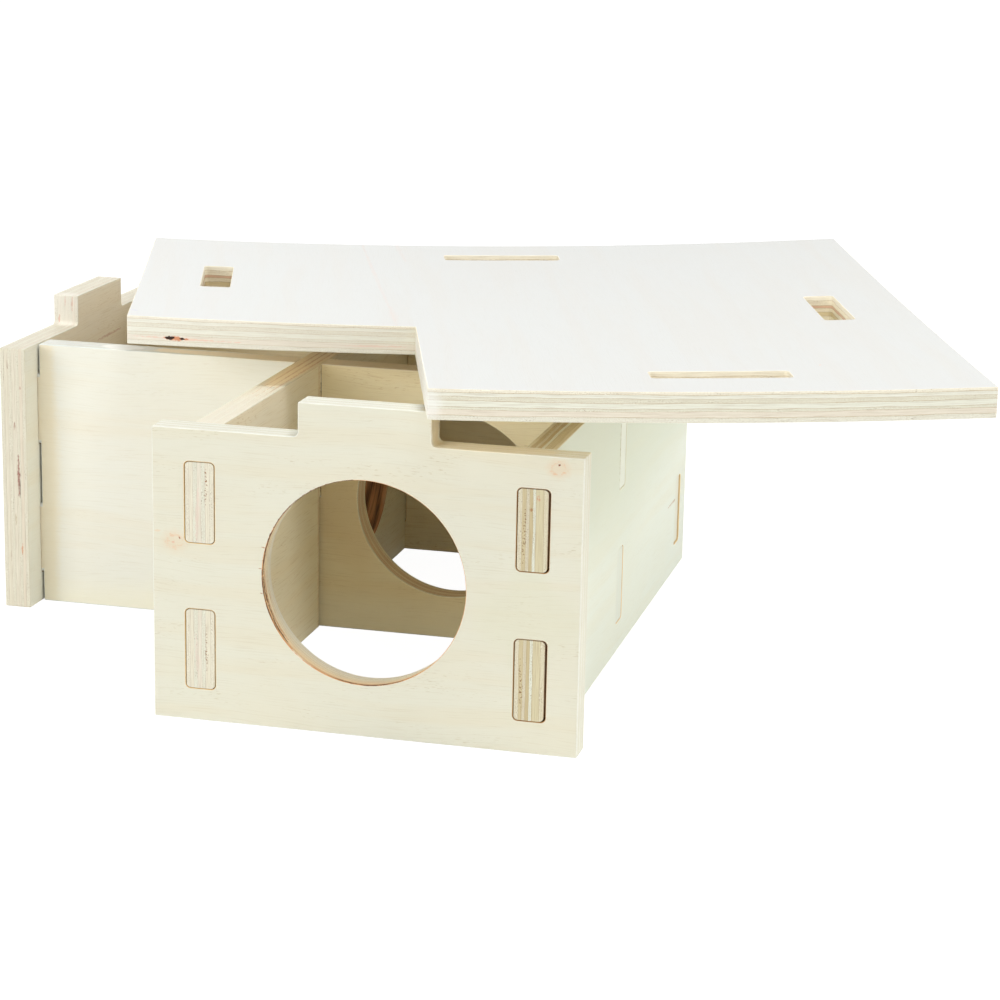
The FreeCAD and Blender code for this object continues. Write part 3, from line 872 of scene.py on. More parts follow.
def make_board(name, outline, holes, place, materials, seed, grain=(1, 0), grid=((), ())):
    """A board from an outline and its holes. Place turns (x, y, depth) into the house's frame.

    Materials are the face, the outline's edge and one for each hole. Grain is the face grain's direction.
    Grid gives lines across the faces, at some x and at some y, for a board that bends or has two room sides.
    """
    bm = bmesh.new()
    edge_uv = bm.loops.layers.uv.new("edge")
    levels = depth_levels()
    rims = {0: [], -1: []}
    for loop_number, loop in enumerate([outline, *holes]):
        points = stepped(loop)
        count = len(points)
        rings = []
        for depth in levels:
            drawn = [drawn_point(points, number, depth, seed) for number in range(count)]
            rings.append([bm.verts.new((*point, depth)) for point in drawn])
        runs = [0.0]
        for number in range(count):
            runs.append(runs[-1] + (points[(number + 1) % count][0] - points[number][0]).length)
        for lower, upper in zip(rings, rings[1:]):
            for number in range(count):
                following = (number + 1) % count
                face = bm.faces.new((lower[number], lower[following], upper[following], upper[number]))
                face.material_index = loop_number + 1
                across = abs(outward(points[number][0], points[following][0]).dot(Vector(grain))) ** 2
                near, far = runs[number], runs[number + 1]
                for corner, run in zip(face.loops, (near, far, far, near)):
                    corner[edge_uv].uv = (run, across)
        for level, level_rims in rims.items():
            level_rims.append(rings[level])
    for level_rims in rims.values():
        fill_face(bm, level_rims)
    for axis, lines in enumerate(grid):
        for line in lines:
            normal = Vector((axis == 0, axis == 1, 0))
            everything = bm.verts[:] + bm.edges[:] + bm.faces[:]
            bmesh.ops.bisect_plane(
                bm, geom=everything, dist=ON_THE_LINE, plane_co=normal * line, plane_no=normal,
            )
    board_place = bm.verts.layers.float_vector.new("board")
    grain_x, grain_y = grain
    for vertex in bm.verts:
        x, y, depth = vertex.co
        vertex[board_place] = (x * grain_x + y * grain_y, y * grain_x - x * grain_y, depth)
        vertex.co = place(x, y, depth)
    bmesh.ops.recalc_face_normals(bm, faces=bm.faces[:])
    if bm.calc_volume(signed=True) < 0:
        bmesh.ops.reverse_faces(bm, faces=bm.faces[:])
    room_side = bm.faces.layers.float.new("room_side")
    for face in bm.faces:
        face[room_side] = faces_room(face)
        face.smooth = True
    for edge in bm.edges:
        one, other = edge.link_faces
        same_side = one.material_index == other.material_index
        edge.smooth = same_side and one.normal.angle(other.normal) < SHARP_ANGLE
    mesh = bpy.data.meshes.new(name)
    bm.to_mesh(mesh)
    bm.free()
    for material in materials:
        mesh.materials.append(material)
    board = bpy.data.objects.new(name, mesh)
    bpy.context.scene.collection.objects.link(board)
    return board


print("edges sharper than", round(math.degrees(SHARP_ANGLE)), "degrees stay crisp")

# %% [markdown]
# ## Putting boards in place
# Walls run across the house or along it. Each finished board then takes the place of its plain solid and moves
# with the body that the solid belongs to.

# %% Placing helpers
def stand_for(board, node, body):
    """The finished board takes the place of its plain solid, and the gap between their boxes is printed."""
    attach(board, body)
    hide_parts(node)
    low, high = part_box(node)
    made_low = Vector([min(vertex.co[axis] for vertex in board.data.vertices) for axis in range(3)])
    made_high = Vector([max(vertex.co[axis] for vertex in board.data.vertices) for axis in range(3)])
    inside = [round(value / MM, 2) for value in (*(made_low - low), *(high - made_high))]
    print(f"{board.name}: {len(board.data.polygons)} faces, inside its solid's box by {inside} mm")


def across_house(y):
    """Places a wall that runs left to right, its depth going back from the face nearer the front."""
    return lambda x, height, depth: Vector((x, y - HALF_PLY + depth, height))


def along_house(x):
    """Places a wall that runs front to back, its depth going right from its left face."""
    return lambda y, height, depth: Vector((x - HALF_PLY + depth, y, height))


print("the front wall's front face is at", round(across_house(-DEPTH_BAY)(0, 0, 0).y / MM, 1), "mm")

# %% [markdown]
# ## Tones
# The same pale wood looks creamier on the walls than on the lid, whose face veneer is a whiter sheet. The plies
# under it differ more: some are greenish, some pinkish brown. These tones are shared by the boards below.

# %% Tones
CREAM = tone(222, 220, 202)
LIGHT_CREAM = tone(235, 234, 222)
COOL_CREAM = tone(234, 240, 229)
WHITE_VENEER = tone(221, 222, 219)
PALE_PLY = tone(232, 228, 208)
GREEN_PLY = tone(228, 228, 210)
TAN_PLY = tone(226, 209, 172)
ROSE_PLY = tone(231, 222, 201)
BRIGHT_PLY = tone(236, 236, 224)
COOL_PLY = tone(231, 235, 229)
GLUE = tone(200, 180, 140)
GREY_GLUE = tone(219, 211, 192)
DEEP_BURN = tone(112, 76, 50)
KNOT_TAN = tone(224, 188, 150)
# Painted light and shade: the tones of the sides that face a room are warmer and lighter than the veneer outside,
# and stand for the warm light thrown about between the walls. The olive one goes low in a room and is darker,
# painted shade. The lid's underside is a warm near-white, so that the light it throws down on the walls' top edges
# is warm.
PAINTED_BOUNCE_TAN = tone(254, 244, 210)
LIGHT_PAINTED_BOUNCE_TAN = tone(255, 247, 224)
OLIVE_PAINTED_SHADE_TAN = tone(233, 219, 180)
UNDERSIDE_BOUNCE_TAN = tone(253, 237, 200)
print("cream is", [round(value, 2) for value in CREAM])

# %% [markdown]
# ## Where marks lie on a wall
# Marks are placed in board millimetres: along the wall, up it, and through its thickness. Most of them lie along
# the top edge, run up the whole wall, or sit in the end of a tenon, so each of these has a short function. The ones
# up the whole wall start below it and end above it, because a mark narrows towards its ends.

# %% Streak helpers
TOP = WALL_HEIGHT / MM
BELOW_WALL, ABOVE_WALL = -60.0, 160.0
FRONT_TIP = -(DEPTH_BAY + HALF_PLY) / MM


def top_streak(start, end, start_depth, end_depth, width, stain, amount):
    """A streak along the top edge of a wall."""
    return ((start, TOP, start_depth), (end, TOP, end_depth), width, stain, amount)


def upright_streak(along, depth, width, stain, amount):
    """A streak up the whole height of a wall."""
    return ((along, BELOW_WALL, depth), (along, ABOVE_WALL, depth), width, stain, amount)


def tip_streak(low, high, low_depth, high_depth, width, stain, amount, dots=0.0):
    """A streak up the front end of a tenon of the centre wall or of the right wall."""
    return ((FRONT_TIP, low, low_depth), (FRONT_TIP, high, high_depth), width, stain, amount, dots)


print("the front tenons end", round(-FRONT_TIP, 1), "mm in front of the cross wall's middle")

# %% [markdown]
# ## The front wall
# The board with the doorway. It runs on past the centre wall and the right wall, and a tab on its top edge is
# made for a slot of the lid. A pin knot with a streak of resin at its left edge and a second knot in its upper
# right corner give it away as real wood. Its doorway is burnt near the front, where the bit rubbed longest. The
# burns follow the rim, so each is a chain of short marks round a part of the circle.

# %% Front wall
def front_mark(x, z):
    """A point on the front wall's outer face, in board millimetres."""
    return (x, z, 0.0)


STREAK_STEP = 10
STREAK_OVERLAP = 6


def doorway_streak(first, last, depth, width, stain, amount):
    """A streak in the doorway's rim at a depth in mm, from angle to angle in degrees, in short pieces."""
    pieces = []
    for start in range(first, max(last - STREAK_OVERLAP, first + 1), STREAK_STEP):
        ends = []
        for degrees in (start, min(start + STREAK_STEP + STREAK_OVERLAP, last)):
            angle = math.radians(degrees)
            x = FRONT_BAY / 2 + OPENING_RADIUS * math.cos(angle)
            z = DOORWAY_MIDDLE + OPENING_RADIUS * math.sin(angle)
            ends.append((x / MM, z / MM, depth))
        pieces.append((*ends, width, stain, amount))
    return pieces


RIM_BURN = tone(112, 74, 46)
CLEAN_RIM = tone(240, 228, 202)
TAN_BURN = tone(206, 156, 106)
front_face = veneer_material(
    "front_wall_veneer", 1.0, CREAM, PAINTED_BOUNCE_TAN, fibre=0.2, flecks=0.45,
    marks=(
        (front_mark(-8.7, 61.6), 2.2, KNOT_TAN, 0.8),
        (front_mark(-7.2, 62.7), front_mark(-6.9, 62.6), 0.6, tone(150, 92, 60), 1.0),
        (front_mark(-9.5, 61.5), front_mark(-8.7, 61.0), 0.9, tone(222, 170, 136), 0.7),
        (front_mark(-15.8, 64.6), front_mark(-13.4, 64.7), 0.5, tone(228, 196, 154), 0.8),
        (front_mark(120.5, 96.0), 1.9, KNOT_TAN, 0.9),
        (front_mark(120.5, 97.5), front_mark(121.0, 97.3), 0.65, tone(128, 66, 40), 1.0),
        (front_mark(104.0, 45.0), front_mark(120.0, 45.0), 42.0, tone(214, 214, 186), 0.35),
        (front_mark(21.4, 62.0), front_mark(22.8, 61.8), 0.35, tone(176, 128, 92), 0.8),
        (front_mark(20.4, 54.6), front_mark(21.6, 54.7), 0.3, tone(176, 128, 92), 0.8),
        (front_mark(21.0, 46.2), front_mark(22.1, 46.1), 0.3, tone(176, 128, 92), 0.8),
        *doorway_streak(96, 172, 0.0, 0.3, RIM_BURN, 1.6),
    ),
)
front_edge = edge_material(
    "front_wall_plies", (
        (1.3, BRIGHT_PLY), (1.5, GREEN_PLY), (1.5, BRIGHT_PLY), (1.5, GREEN_PLY),
        (1.5, BRIGHT_PLY), (1.5, GREEN_PLY), (1.2, BRIGHT_PLY),
    ), GREY_GLUE, roughness=0.5,
    marks=(
        # Painted shade: the end of the tab and the top edge right of it are tan, where the lid's shade falls and
        # the light under it is warm.
        ((78.7, 114.0, 5.0), (78.7, 101.0, 5.0), 10.0, tone(208, 188, 146), 0.85),
        top_streak(72.0, 116.0, 5.0, 5.0, 13.0, tone(242, 228, 196), 0.6),
    ),
)
doorway_edge = edge_material(
    "doorway_plies", (
        (0.8, tone(222, 170, 122)), (1.0, tone(242, 204, 158)), (1.7, tone(255, 234, 196)),
        (1.6, tone(255, 242, 212)), (1.6, tone(255, 247, 222)), (1.7, tone(255, 250, 230)),
        (1.6, tone(255, 251, 234)),
    ), tone(236, 208, 168), roughness=0.5, burn=(0.4, tone(212, 160, 112), DEEP_BURN, 1.8),
    marks=(
        *doorway_streak(96, 150, 0.0, 0.8, RIM_BURN, 1.2),
        *doorway_streak(148, 168, 0.8, 1.2, RIM_BURN, 1.2),
        *doorway_streak(164, 180, 1.2, 1.3, RIM_BURN, 1.0),
        *doorway_streak(176, 212, 0.2, 0.6, RIM_BURN, 1.2),
        *doorway_streak(178, 220, 2.9, 0.9, TAN_BURN, 0.9),
        *doorway_streak(182, 196, 1.6, 0.9, RIM_BURN, 1.1),
        *doorway_streak(192, 208, 2.2, 0.9, RIM_BURN, 1.1),
        *doorway_streak(205, 221, 1.5, 1.1, RIM_BURN, 1.3),
        *doorway_streak(180, 204, 5.6, 0.6, TAN_BURN, 0.7),
        *doorway_streak(225, 240, 0.5, 1.0, CLEAN_RIM, 1.0),
        *doorway_streak(250, 270, 0.5, 0.7, RIM_BURN, 0.9),
        *doorway_streak(268, 294, 0.3, 0.8, RIM_BURN, 1.2),
    ),
)
mortise_edge = edge_material(
    "mortise_plies", (
        (3.3, tone(238, 204, 146)), (3.4, TAN_PLY), (3.3, tone(226, 200, 152)),
    ), GLUE, roughness=1.0, burn=(0.42, tone(204, 156, 82), tone(130, 84, 40), 10.0),
)
burnt_mortise_edge = edge_material(
    "burnt_mortise_plies", (
        (5.0, tone(206, 164, 106)), (5.0, tone(160, 118, 70)),
    ), GLUE, roughness=0.8, burn=(0.52, tone(156, 112, 68), tone(76, 50, 28), 10.0),
)
front_wall = make_board(
    "front_wall_board",
    wall_outline(-PAST_JOINT, FRONT_BAY + PAST_JOINT, tab=FRONT_BAY / 2),
    [ring(FRONT_BAY / 2, DOORWAY_MIDDLE, OPENING_RADIUS - DOORWAY_FLARE / 2, FLARED),
     *mortises(0, TENON_GAP, NEAR_GAP), *mortises(FRONT_BAY, NEAR_GAP, WIDE_GAP)],
    across_house(-DEPTH_BAY),
    [front_face, front_edge, doorway_edge] + [mortise_edge] * 2 + [burnt_mortise_edge] * 2,
    seed=1, grid=((0, FRONT_BAY), ()),
)
stand_for(front_wall, "front_wall", "house")

# %% [markdown]
# ## The centre wall
# It runs from the front wall to the back wall and carries tenons at both ends. Its notch is open below and slides
# down over the cross wall. The ends of its front tenons show in the front wall's left mortises, as striped
# patches. Its passage is the most badly burnt of all the openings.

# %% Centre wall
centre_face = veneer_material(
    "centre_wall_veneer", 2.0, CREAM, LIGHT_PAINTED_BOUNCE_TAN, tone(248, 240, 212),
    marks=(
        # Painted shade: two brown lines down the right face, in the corner where it meets the cross wall.
        upright_streak(-7.2, 10.0, 1.4, tone(190, 140, 92), 0.4),
        upright_streak(-4.2, 10.0, 1.4, tone(130, 94, 54), 1.3),
    ),
)
centre_edge = edge_material(
    "centre_wall_plies", (
        (1.4, PALE_PLY), (1.3, tone(229, 224, 203)), (1.5, GREEN_PLY), (1.4, tone(229, 223, 205)),
        (1.3, GREEN_PLY), (1.7, tone(228, 223, 202)), (1.4, PALE_PLY),
    ), GREY_GLUE,
    marks=(
        tip_streak(74.0, 86.5, 7.1, 7.3, 0.9, tone(150, 104, 62), 1.2, 1.0),
        tip_streak(16.0, 34.0, 7.3, 7.1, 0.7, tone(158, 122, 84), 1.0, 1.0),
        tip_streak(62.0, 80.0, 3.9, 4.6, 1.0, tone(226, 200, 184), 0.6),
        tip_streak(14.0, 30.0, 4.2, 3.6, 1.0, tone(226, 204, 188), 0.5),
        # Painted light and shade on the top edge: paler in front, where the light falls, and warm tan from the
        # lid's shadow back, for the warm light under the lid. The three brown ply lines are drawn only in that
        # shadow: partly the plies' own lines, partly painted shade.
        top_streak(-150.0, -54.0, 5.0, 5.0, 12.0, tone(240, 233, 214), 0.9),
        top_streak(-45.5, 150.0, 5.0, 5.0, 14.0, tone(255, 238, 204), 1.2),
        top_streak(-62.0, 40.0, 3.4, 3.2, 0.7, tone(206, 166, 122), 0.6),
        top_streak(-66.0, 40.0, 6.0, 5.6, 0.7, tone(200, 160, 116), 0.6),
        top_streak(-62.0, 40.0, 8.2, 8.0, 0.7, tone(206, 166, 122), 0.6),
    ),
)
burnt_passage_edge = edge_material(
    "burnt_passage_plies", (
        (3.0, TAN_PLY), (2.0, ROSE_PLY), (2.0, TAN_PLY), (3.0, TAN_PLY),
    ), GLUE, burn=(0.7, tone(204, 150, 104), tone(98, 64, 40), 10.0),
)
centre_wall = make_board(
    "centre_wall_board",
    wall_outline(HALF_PLY - DEPTH_BAY, DEPTH_BAY - HALF_PLY, start_tip=-DEPTH_BAY - HALF_PLY,
                 end_tip=DEPTH_BAY + HALF_PLY, lap="below"),
    [ring(PASSAGE_OFFSET, PASSAGE_MIDDLE, OPENING_RADIUS)],
    along_house(0),
    [centre_face, centre_edge, burnt_passage_edge],
    seed=2, grid=((0,), ()),
)
stand_for(centre_wall, "centre_wall", "house")

# %% [markdown]
# ## The cross wall
# It closes the left wing in front, crosses the centre wall at the halved joint, and parts the front room from the
# rear one with a passage. Its left shoulders stop a little short of the left wall, which leaves a dark gap there.

# %% Cross wall
cross_face = veneer_material(
    "cross_wall_veneer", 3.0, LIGHT_CREAM, tone(253, 243, 208), OLIVE_PAINTED_SHADE_TAN,
    marks=(
        # Painted light and shade: the room side is warm and light, painted bounce light, and olive lower down,
        # painted shade. Warm at the left end, in the corner by the left wall, and a darker tan patch in the front
        # room by the centre wall are painted shade. Paler along the foot is painted light from the floor.
        upright_streak(-104.0, 0.0, 8.0, tone(238, 224, 190), 0.7),
        ((2.0, 47.0, 0.0), (34.0, 50.0, 0.0), 40.0, tone(218, 194, 148), 0.6),
        ((-200.0, -6.0, 0.0), (200.0, -6.0, 0.0), 28.0, tone(246, 241, 216), 0.7),
    ),
)
cross_edge = edge_material(
    "cross_wall_plies", (
        (1.4, COOL_PLY), (1.4, tone(228, 231, 222)), (1.5, COOL_PLY), (1.4, tone(230, 231, 224)),
        (1.4, COOL_PLY), (1.5, tone(230, 232, 224)), (1.4, COOL_PLY),
    ), GREY_GLUE, roughness=0.6,
    marks=(
        # Painted light and shade: a near-white stretch of the top edge where the lid's shadow would begin too soon,
        # warm tan under the lid for the warm light there, and a brown band on the edge of the notch for the shade
        # in the gap at the crossing.
        top_streak(-80.0, -68.0, 5.0, 5.0, 10.0, tone(254, 254, 246), 0.9),
        top_streak(-58.0, 150.0, 5.0, 5.0, 13.0, tone(255, 240, 210), 1.0),
        ((5.1, 52.0, 2.0), (5.1, 88.0, 2.0), 10.0, tone(168, 130, 84), 1.4),
        upright_streak(117.4, 5.0, 9.0, tone(232, 238, 226), 1.0),
    ),
)
passage_edge = edge_material(
    "passage_plies", (
        (1.2, tone(255, 248, 220)), (2.0, tone(240, 214, 176)), (1.9, tone(250, 230, 196)),
        (1.7, tone(238, 212, 174)), (1.7, tone(248, 228, 194)), (1.5, tone(255, 246, 214)),
    ), GLUE,
)
left_shoulder = -LEFT_BAY + HALF_PLY + SHOULDER_GAP
cross_wall = make_board(
    "cross_wall_board",
    wall_outline(left_shoulder, FRONT_BAY - HALF_PLY, start_tip=-LEFT_BAY - HALF_PLY,
                 end_tip=FRONT_BAY + HALF_PLY - CROSS_TENON_SHORT, lap="above"),
    [ring(PASSAGE_OFFSET, PASSAGE_MIDDLE, OPENING_RADIUS)],
    across_house(0),
    [cross_face, cross_edge, passage_edge],
    seed=3, grid=((0,), ()),
)
stand_for(cross_wall, "cross_wall", "house")

# %% [markdown]
# ## The right wall
# The long side board. Its front tenons show in the front wall's right mortises, with one very white ply among
# tan ones, and its own mortises take the cross wall and the back wall. Its outer face is a cooler sheet.

# %% Right wall
right_face = veneer_material(
    "right_wall_veneer", 4.0, COOL_CREAM, PAINTED_BOUNCE_TAN, fibre=0.12, band=0.3, flecks=0.15,
    marks=(
        # Painted shade: a greyer band along the top of the outer face for the lid's shadow, a dark olive line
        # beside the cross wall's upper tenon for the shade in its gap, and brown on the tenons where they sit in
        # the front wall's mortises, for the shade in that gap.
        ((-300.0, 86.0, 10.0), (300.0, 86.0, 10.0), 60.0, tone(207, 214, 196), 0.8),
        ((94.3, 30.4, 10.0), (116.1, 30.2, 10.0), 0.7, tone(196, 170, 142), 0.9),
        ((-5.2, 61.8, 10.0), (-5.2, 94.0, 10.0), 1.0, tone(160, 150, 98), 1.6),
        upright_streak(-118.5, 10.0, 5.5, tone(196, 156, 104), 1.0),
    ),
)
right_edge = edge_material(
    "right_wall_plies", (
        (1.5, tone(224, 218, 192)), (1.2, tone(206, 193, 155)), (1.1, tone(214, 207, 182)),
        (1.1, tone(200, 185, 146)), (1.1, tone(226, 229, 212)), (2.5, tone(212, 203, 168)),
        (1.5, tone(222, 215, 187)),
    ), tone(198, 183, 145),
    marks=(
        tip_streak(64.0, 82.0, 2.1, 2.4, 0.9, tone(140, 106, 70), 1.1, 1.0),
        tip_streak(14.0, 32.0, 2.3, 2.0, 0.9, tone(140, 106, 70), 1.0, 1.0),
        tip_streak(81.5, 82.5, 4.4, 4.4, 0.8, tone(166, 120, 80), 1.0, 0.3),
        tip_streak(85.0, 86.6, 6.8, 6.9, 1.3, tone(204, 150, 122), 0.9, 0.8),
    ),
)
golden_mortise_edge = edge_material(
    "golden_mortise_plies", (
        (5.0, tone(228, 194, 140)), (5.0, tone(252, 224, 176)),
    ), GLUE, roughness=0.6,
)
pale_mortise_edge = edge_material(
    "pale_mortise_plies", (
        (5.0, PALE_PLY), (5.0, tone(234, 234, 214)),
    ), GREY_GLUE, roughness=0.6,
)
right_wall = make_board(
    "right_wall_board",
    wall_outline(HALF_PLY - DEPTH_BAY, DEPTH_BAY + PAST_JOINT, tab=0, start_tip=-DEPTH_BAY - HALF_PLY),
    [*mortises(0, TIGHT_GAP, TIGHT_GAP), *mortises(DEPTH_BAY, TIGHT_GAP, TENON_GAP)],
    along_house(FRONT_BAY),
    [right_face, right_edge, golden_mortise_edge, pale_mortise_edge] + [golden_mortise_edge] * 2,
    seed=4, grid=((-DEPTH_BAY, DEPTH_BAY), ()),
)
stand_for(right_wall, "right_wall", "house")

# %% [markdown]
# ## The left wall
# The short side board of the wing. Its front edge stands free, and its plies are the most colourful ones: resin
# streaks in red and orange, each a mark that lies in one ply.

# %% Left wall
def left_edge_streak(across, low, high, width, stain, amount):
    """A resin streak in the left wall's front edge, in board millimetres."""
    front = -PAST_JOINT / MM
    return ((front, low, across), (front, high, across), width, stain, amount, 0.3)


def left_tab_streak(across, low, high, width, stain, amount):
    """A streak in the front edge of the left wall's tab."""
    front = (DEPTH_BAY / 2 - TAB_LENGTH / 2) / MM
    return ((front, low, across), (front, high, across), width, stain, amount)


# Its room side has a warm, light tone: painted bounce light.
left_face = veneer_material(
    "left_wall_veneer", 5.0, LIGHT_CREAM, tone(255, 246, 224), fibre=0.14, flecks=0.15,
    marks=(
        ((53.7, 90.5, 10.0), (79.1, 91.0, 10.0), 0.8, tone(196, 140, 112), 0.5),
    ),
)
left_edge = edge_material(
    "left_wall_plies", (
        (1.6, tone(227, 223, 204)), (1.6, tone(225, 219, 199)), (1.5, tone(227, 223, 204)),
        (1.5, tone(226, 220, 201)), (1.3, tone(227, 223, 204)), (1.2, tone(226, 217, 197)),
        (1.3, tone(227, 223, 204)),
    ), GREY_GLUE, roughness=0.8,
    marks=(
        left_edge_streak(6.6, 43.2, 59.4, 0.75, tone(150, 88, 74), 1.0),
        left_edge_streak(7.0, 42.8, 52.0, 0.4, tone(90, 50, 40), 0.9),
        left_edge_streak(5.3, 69.0, 71.9, 0.6, tone(150, 96, 70), 0.9),
        left_edge_streak(7.4, 20.3, 25.2, 0.6, tone(210, 140, 92), 0.9),
        left_edge_streak(2.8, 18.1, 22.1, 0.5, tone(176, 146, 118), 0.8),
        left_edge_streak(5.0, 32.0, 36.7, 0.5, tone(176, 158, 124), 0.8),
        left_edge_streak(3.0, 92.2, 95.3, 0.5, tone(164, 130, 104), 0.8),
        left_edge_streak(7.9, 84.5, 85.7, 0.5, tone(176, 120, 100), 0.8),
        left_tab_streak(5.0, 98.0, 116.0, 12.0, tone(252, 248, 240), 0.5),
        left_tab_streak(7.6, 105.4, 110.6, 0.6, tone(222, 176, 156), 0.8),
        left_tab_streak(4.7, 107.1, 110.8, 0.6, tone(228, 196, 178), 0.7),
        left_tab_streak(2.1, 100.4, 103.8, 0.6, tone(214, 150, 130), 0.9),
    ),
)
left_wall = make_board(
    "left_wall_board",
    wall_outline(-PAST_JOINT, DEPTH_BAY + PAST_JOINT, tab=DEPTH_BAY / 2),
    [*mortises(0), *mortises(DEPTH_BAY)],
    along_house(-LEFT_BAY),
    [left_face, left_edge] + [mortise_edge] * 4,
    seed=5, grid=((0, DEPTH_BAY), ()),
)
stand_for(left_wall, "left_wall", "house")

# %% [markdown]
# ## The back wall
# A plain board between the side walls, with a tab in its middle and mortises for the centre wall's rear tenons.

# %% Back wall
# Its room side has a warm, light tone: painted bounce light.
back_face = veneer_material(
    "back_wall_veneer", 6.0, CREAM, tone(255, 243, 208), flecks=0.3,
)
back_edge = edge_material(
    "back_wall_plies", (
        (1.4, PALE_PLY), (1.4, ROSE_PLY), (1.5, PALE_PLY), (1.4, GREEN_PLY),
        (1.4, BRIGHT_PLY), (1.5, TAN_PLY), (1.4, PALE_PLY),
    ), GREY_GLUE,
    marks=(
        upright_streak(117.4, 5.0, 9.0, tone(234, 238, 224), 1.0),
    ),
)
back_wall = make_board(
    "back_wall_board",
    wall_outline(HALF_PLY - LEFT_BAY, FRONT_BAY - HALF_PLY, tab=(FRONT_BAY - LEFT_BAY) / 2,
                 start_tip=-LEFT_BAY - HALF_PLY, end_tip=FRONT_BAY + HALF_PLY - BACK_TENON_SHORT),
    mortises(0),
    across_house(DEPTH_BAY),
    [back_face, back_edge, mortise_edge, mortise_edge],
    seed=6,
)
stand_for(back_wall, "back_wall", "house")

# %% [markdown]
# ## The lid
# A thin wide board never stays flat: this one curls up at both sides and twists a little. The flat board is cut
# by a grid of lines first, so that it has points in the middle to bend, and then each point is lifted. Its grain
# runs front to back. It lies turned on top of the tabs instead of over them.

# %% Lid
lid_left = -LEFT_BAY - HALF_PLY - LID_OVERHANG
lid_right = FRONT_BAY + HALF_PLY + LID_OVERHANG
lid_back = DEPTH_BAY + HALF_PLY + LID_OVERHANG
notch_side = -PAST_JOINT - LID_OVERHANG
notch_back = -PAST_JOINT - WING_OVERHANG
lid_middle = (lid_left + lid_right) / 2
lid_half_width = (lid_right - lid_left) / 2


def place_lid(x, y, depth):
    """Curls a point of the closed, flat lid, then turns and shifts it to where the lid lies."""
    side, end = (x - lid_middle) / lid_half_width, y / lid_back
    rise = LID_BOW * side ** 2 + LID_TWIST * side * end + LID_DISH * end ** 2
    curled = Vector((x, y, WALL_HEIGHT + TAB_HEIGHT + rise + depth))
    return Matrix.Rotation(LID_TURN, 3, "Z") @ curled + LID_SHIFT


def lid_slot(x, y, half_x, half_y):
    """A slot of the lid, round its middle."""
    return slot_hole(x - half_x, x + half_x, y - half_y, y + half_y)


lid_outline = rounded([
    (lid_left, notch_back, SANDED_CORNER, PLAIN),
    (notch_side, notch_back, 0, PLAIN),
    (notch_side, -lid_back, SANDED_CORNER, PLAIN),
    (lid_right, -lid_back, SANDED_CORNER, PLAIN),
    (lid_right, lid_back, SANDED_CORNER, PLAIN),
    (lid_left, lid_back, SANDED_CORNER, PLAIN),
])
long_half, wide_half = TAB_LENGTH / 2 + SLOT_GAP, HALF_PLY + SLOT_GAP
lid_slots = [
    lid_slot(FRONT_BAY / 2, -DEPTH_BAY, long_half, wide_half),
    lid_slot((FRONT_BAY - LEFT_BAY) / 2, DEPTH_BAY, long_half, wide_half),
    lid_slot(-LEFT_BAY, DEPTH_BAY / 2, wide_half, long_half),
    lid_slot(FRONT_BAY, 0, wide_half, long_half),
]


def lid_mark(x, y):
    """A point on the lid's top face, in board millimetres: the grain runs along the lid's own Y."""
    return (y, -x, 10.0)


NOTCH_FRONT = notch_back / MM
NOTCH_LEFT = -notch_side / MM


def wing_edge_streak(start, end, start_depth, end_depth, width, stain, amount):
    """A streak in the lid's edge over the front of the wing, between two distances left of the middle."""
    return ((NOTCH_FRONT, start, start_depth), (NOTCH_FRONT, end, end_depth), width, stain, amount)


LID_STREAK = tone(226, 212, 204)
# The lid's underside takes a warm near-white room tone, so that the light it throws on the walls' tops is warm.
lid_face = veneer_material(
    "lid_veneer", 7.0, WHITE_VENEER, UNDERSIDE_BOUNCE_TAN,
    band_tint=tone(255, 251, 247), fibre=0.06, flecks=0.04,
    marks=(
        (lid_mark(-56.0, 160.0), lid_mark(-46.2, -23.9), 1.2, LID_STREAK, 0.4),
        (lid_mark(-47.0, 6.0), lid_mark(-46.0, -34.0), 2.2, LID_STREAK, 0.35),
        (lid_mark(-42.0, 160.0), lid_mark(-38.5, 104.0), 1.6, LID_STREAK, 0.3),
        (lid_mark(-138.4, -22.0), lid_mark(-136.8, -23.2), 1.6, tone(212, 213, 220), 0.9),
        (lid_mark(91.0, -101.4), lid_mark(91.6, -100.6), 0.6, tone(234, 206, 190), 0.9),
    ),
)
lid_edge = edge_material(
    "lid_plies", (
        (1.7, tone(235, 233, 216)), (1.9, tone(233, 225, 207)), (0.9, tone(232, 230, 211)),
        (1.8, tone(234, 234, 218)), (1.4, tone(230, 227, 207)), (1.3, tone(235, 234, 219)),
        (1.0, tone(242, 236, 216)),
    ), tone(206, 190, 158), roughness=0.8,
    marks=(
        # Painted light: two paler stretches lift the edge beside the notch and the edge over the front of the wing,
        # which lie in shade.
        ((-160.0, NOTCH_LEFT, 5.0), (-40.0, NOTCH_LEFT, 5.0), 12.0, tone(252, 252, 248), 0.6),
        wing_edge_streak(190.0, 34.0, 5.0, 5.0, 13.0, tone(255, 251, 242), 0.35),
        wing_edge_streak(139.0, 100.0, 2.9, 2.3, 0.6, tone(238, 200, 178), 0.7),
        wing_edge_streak(66.0, 42.0, 2.6, 2.8, 0.5, tone(238, 204, 186), 0.6),
        wing_edge_streak(127.0, 118.4, 2.7, 2.6, 1.0, tone(216, 150, 112), 1.2),
        wing_edge_streak(126.2, 123.2, 2.75, 2.85, 0.8, tone(56, 38, 28), 3.0),
        wing_edge_streak(121.4, 119.6, 2.7, 2.6, 0.7, tone(64, 42, 30), 3.0),
    ),
)
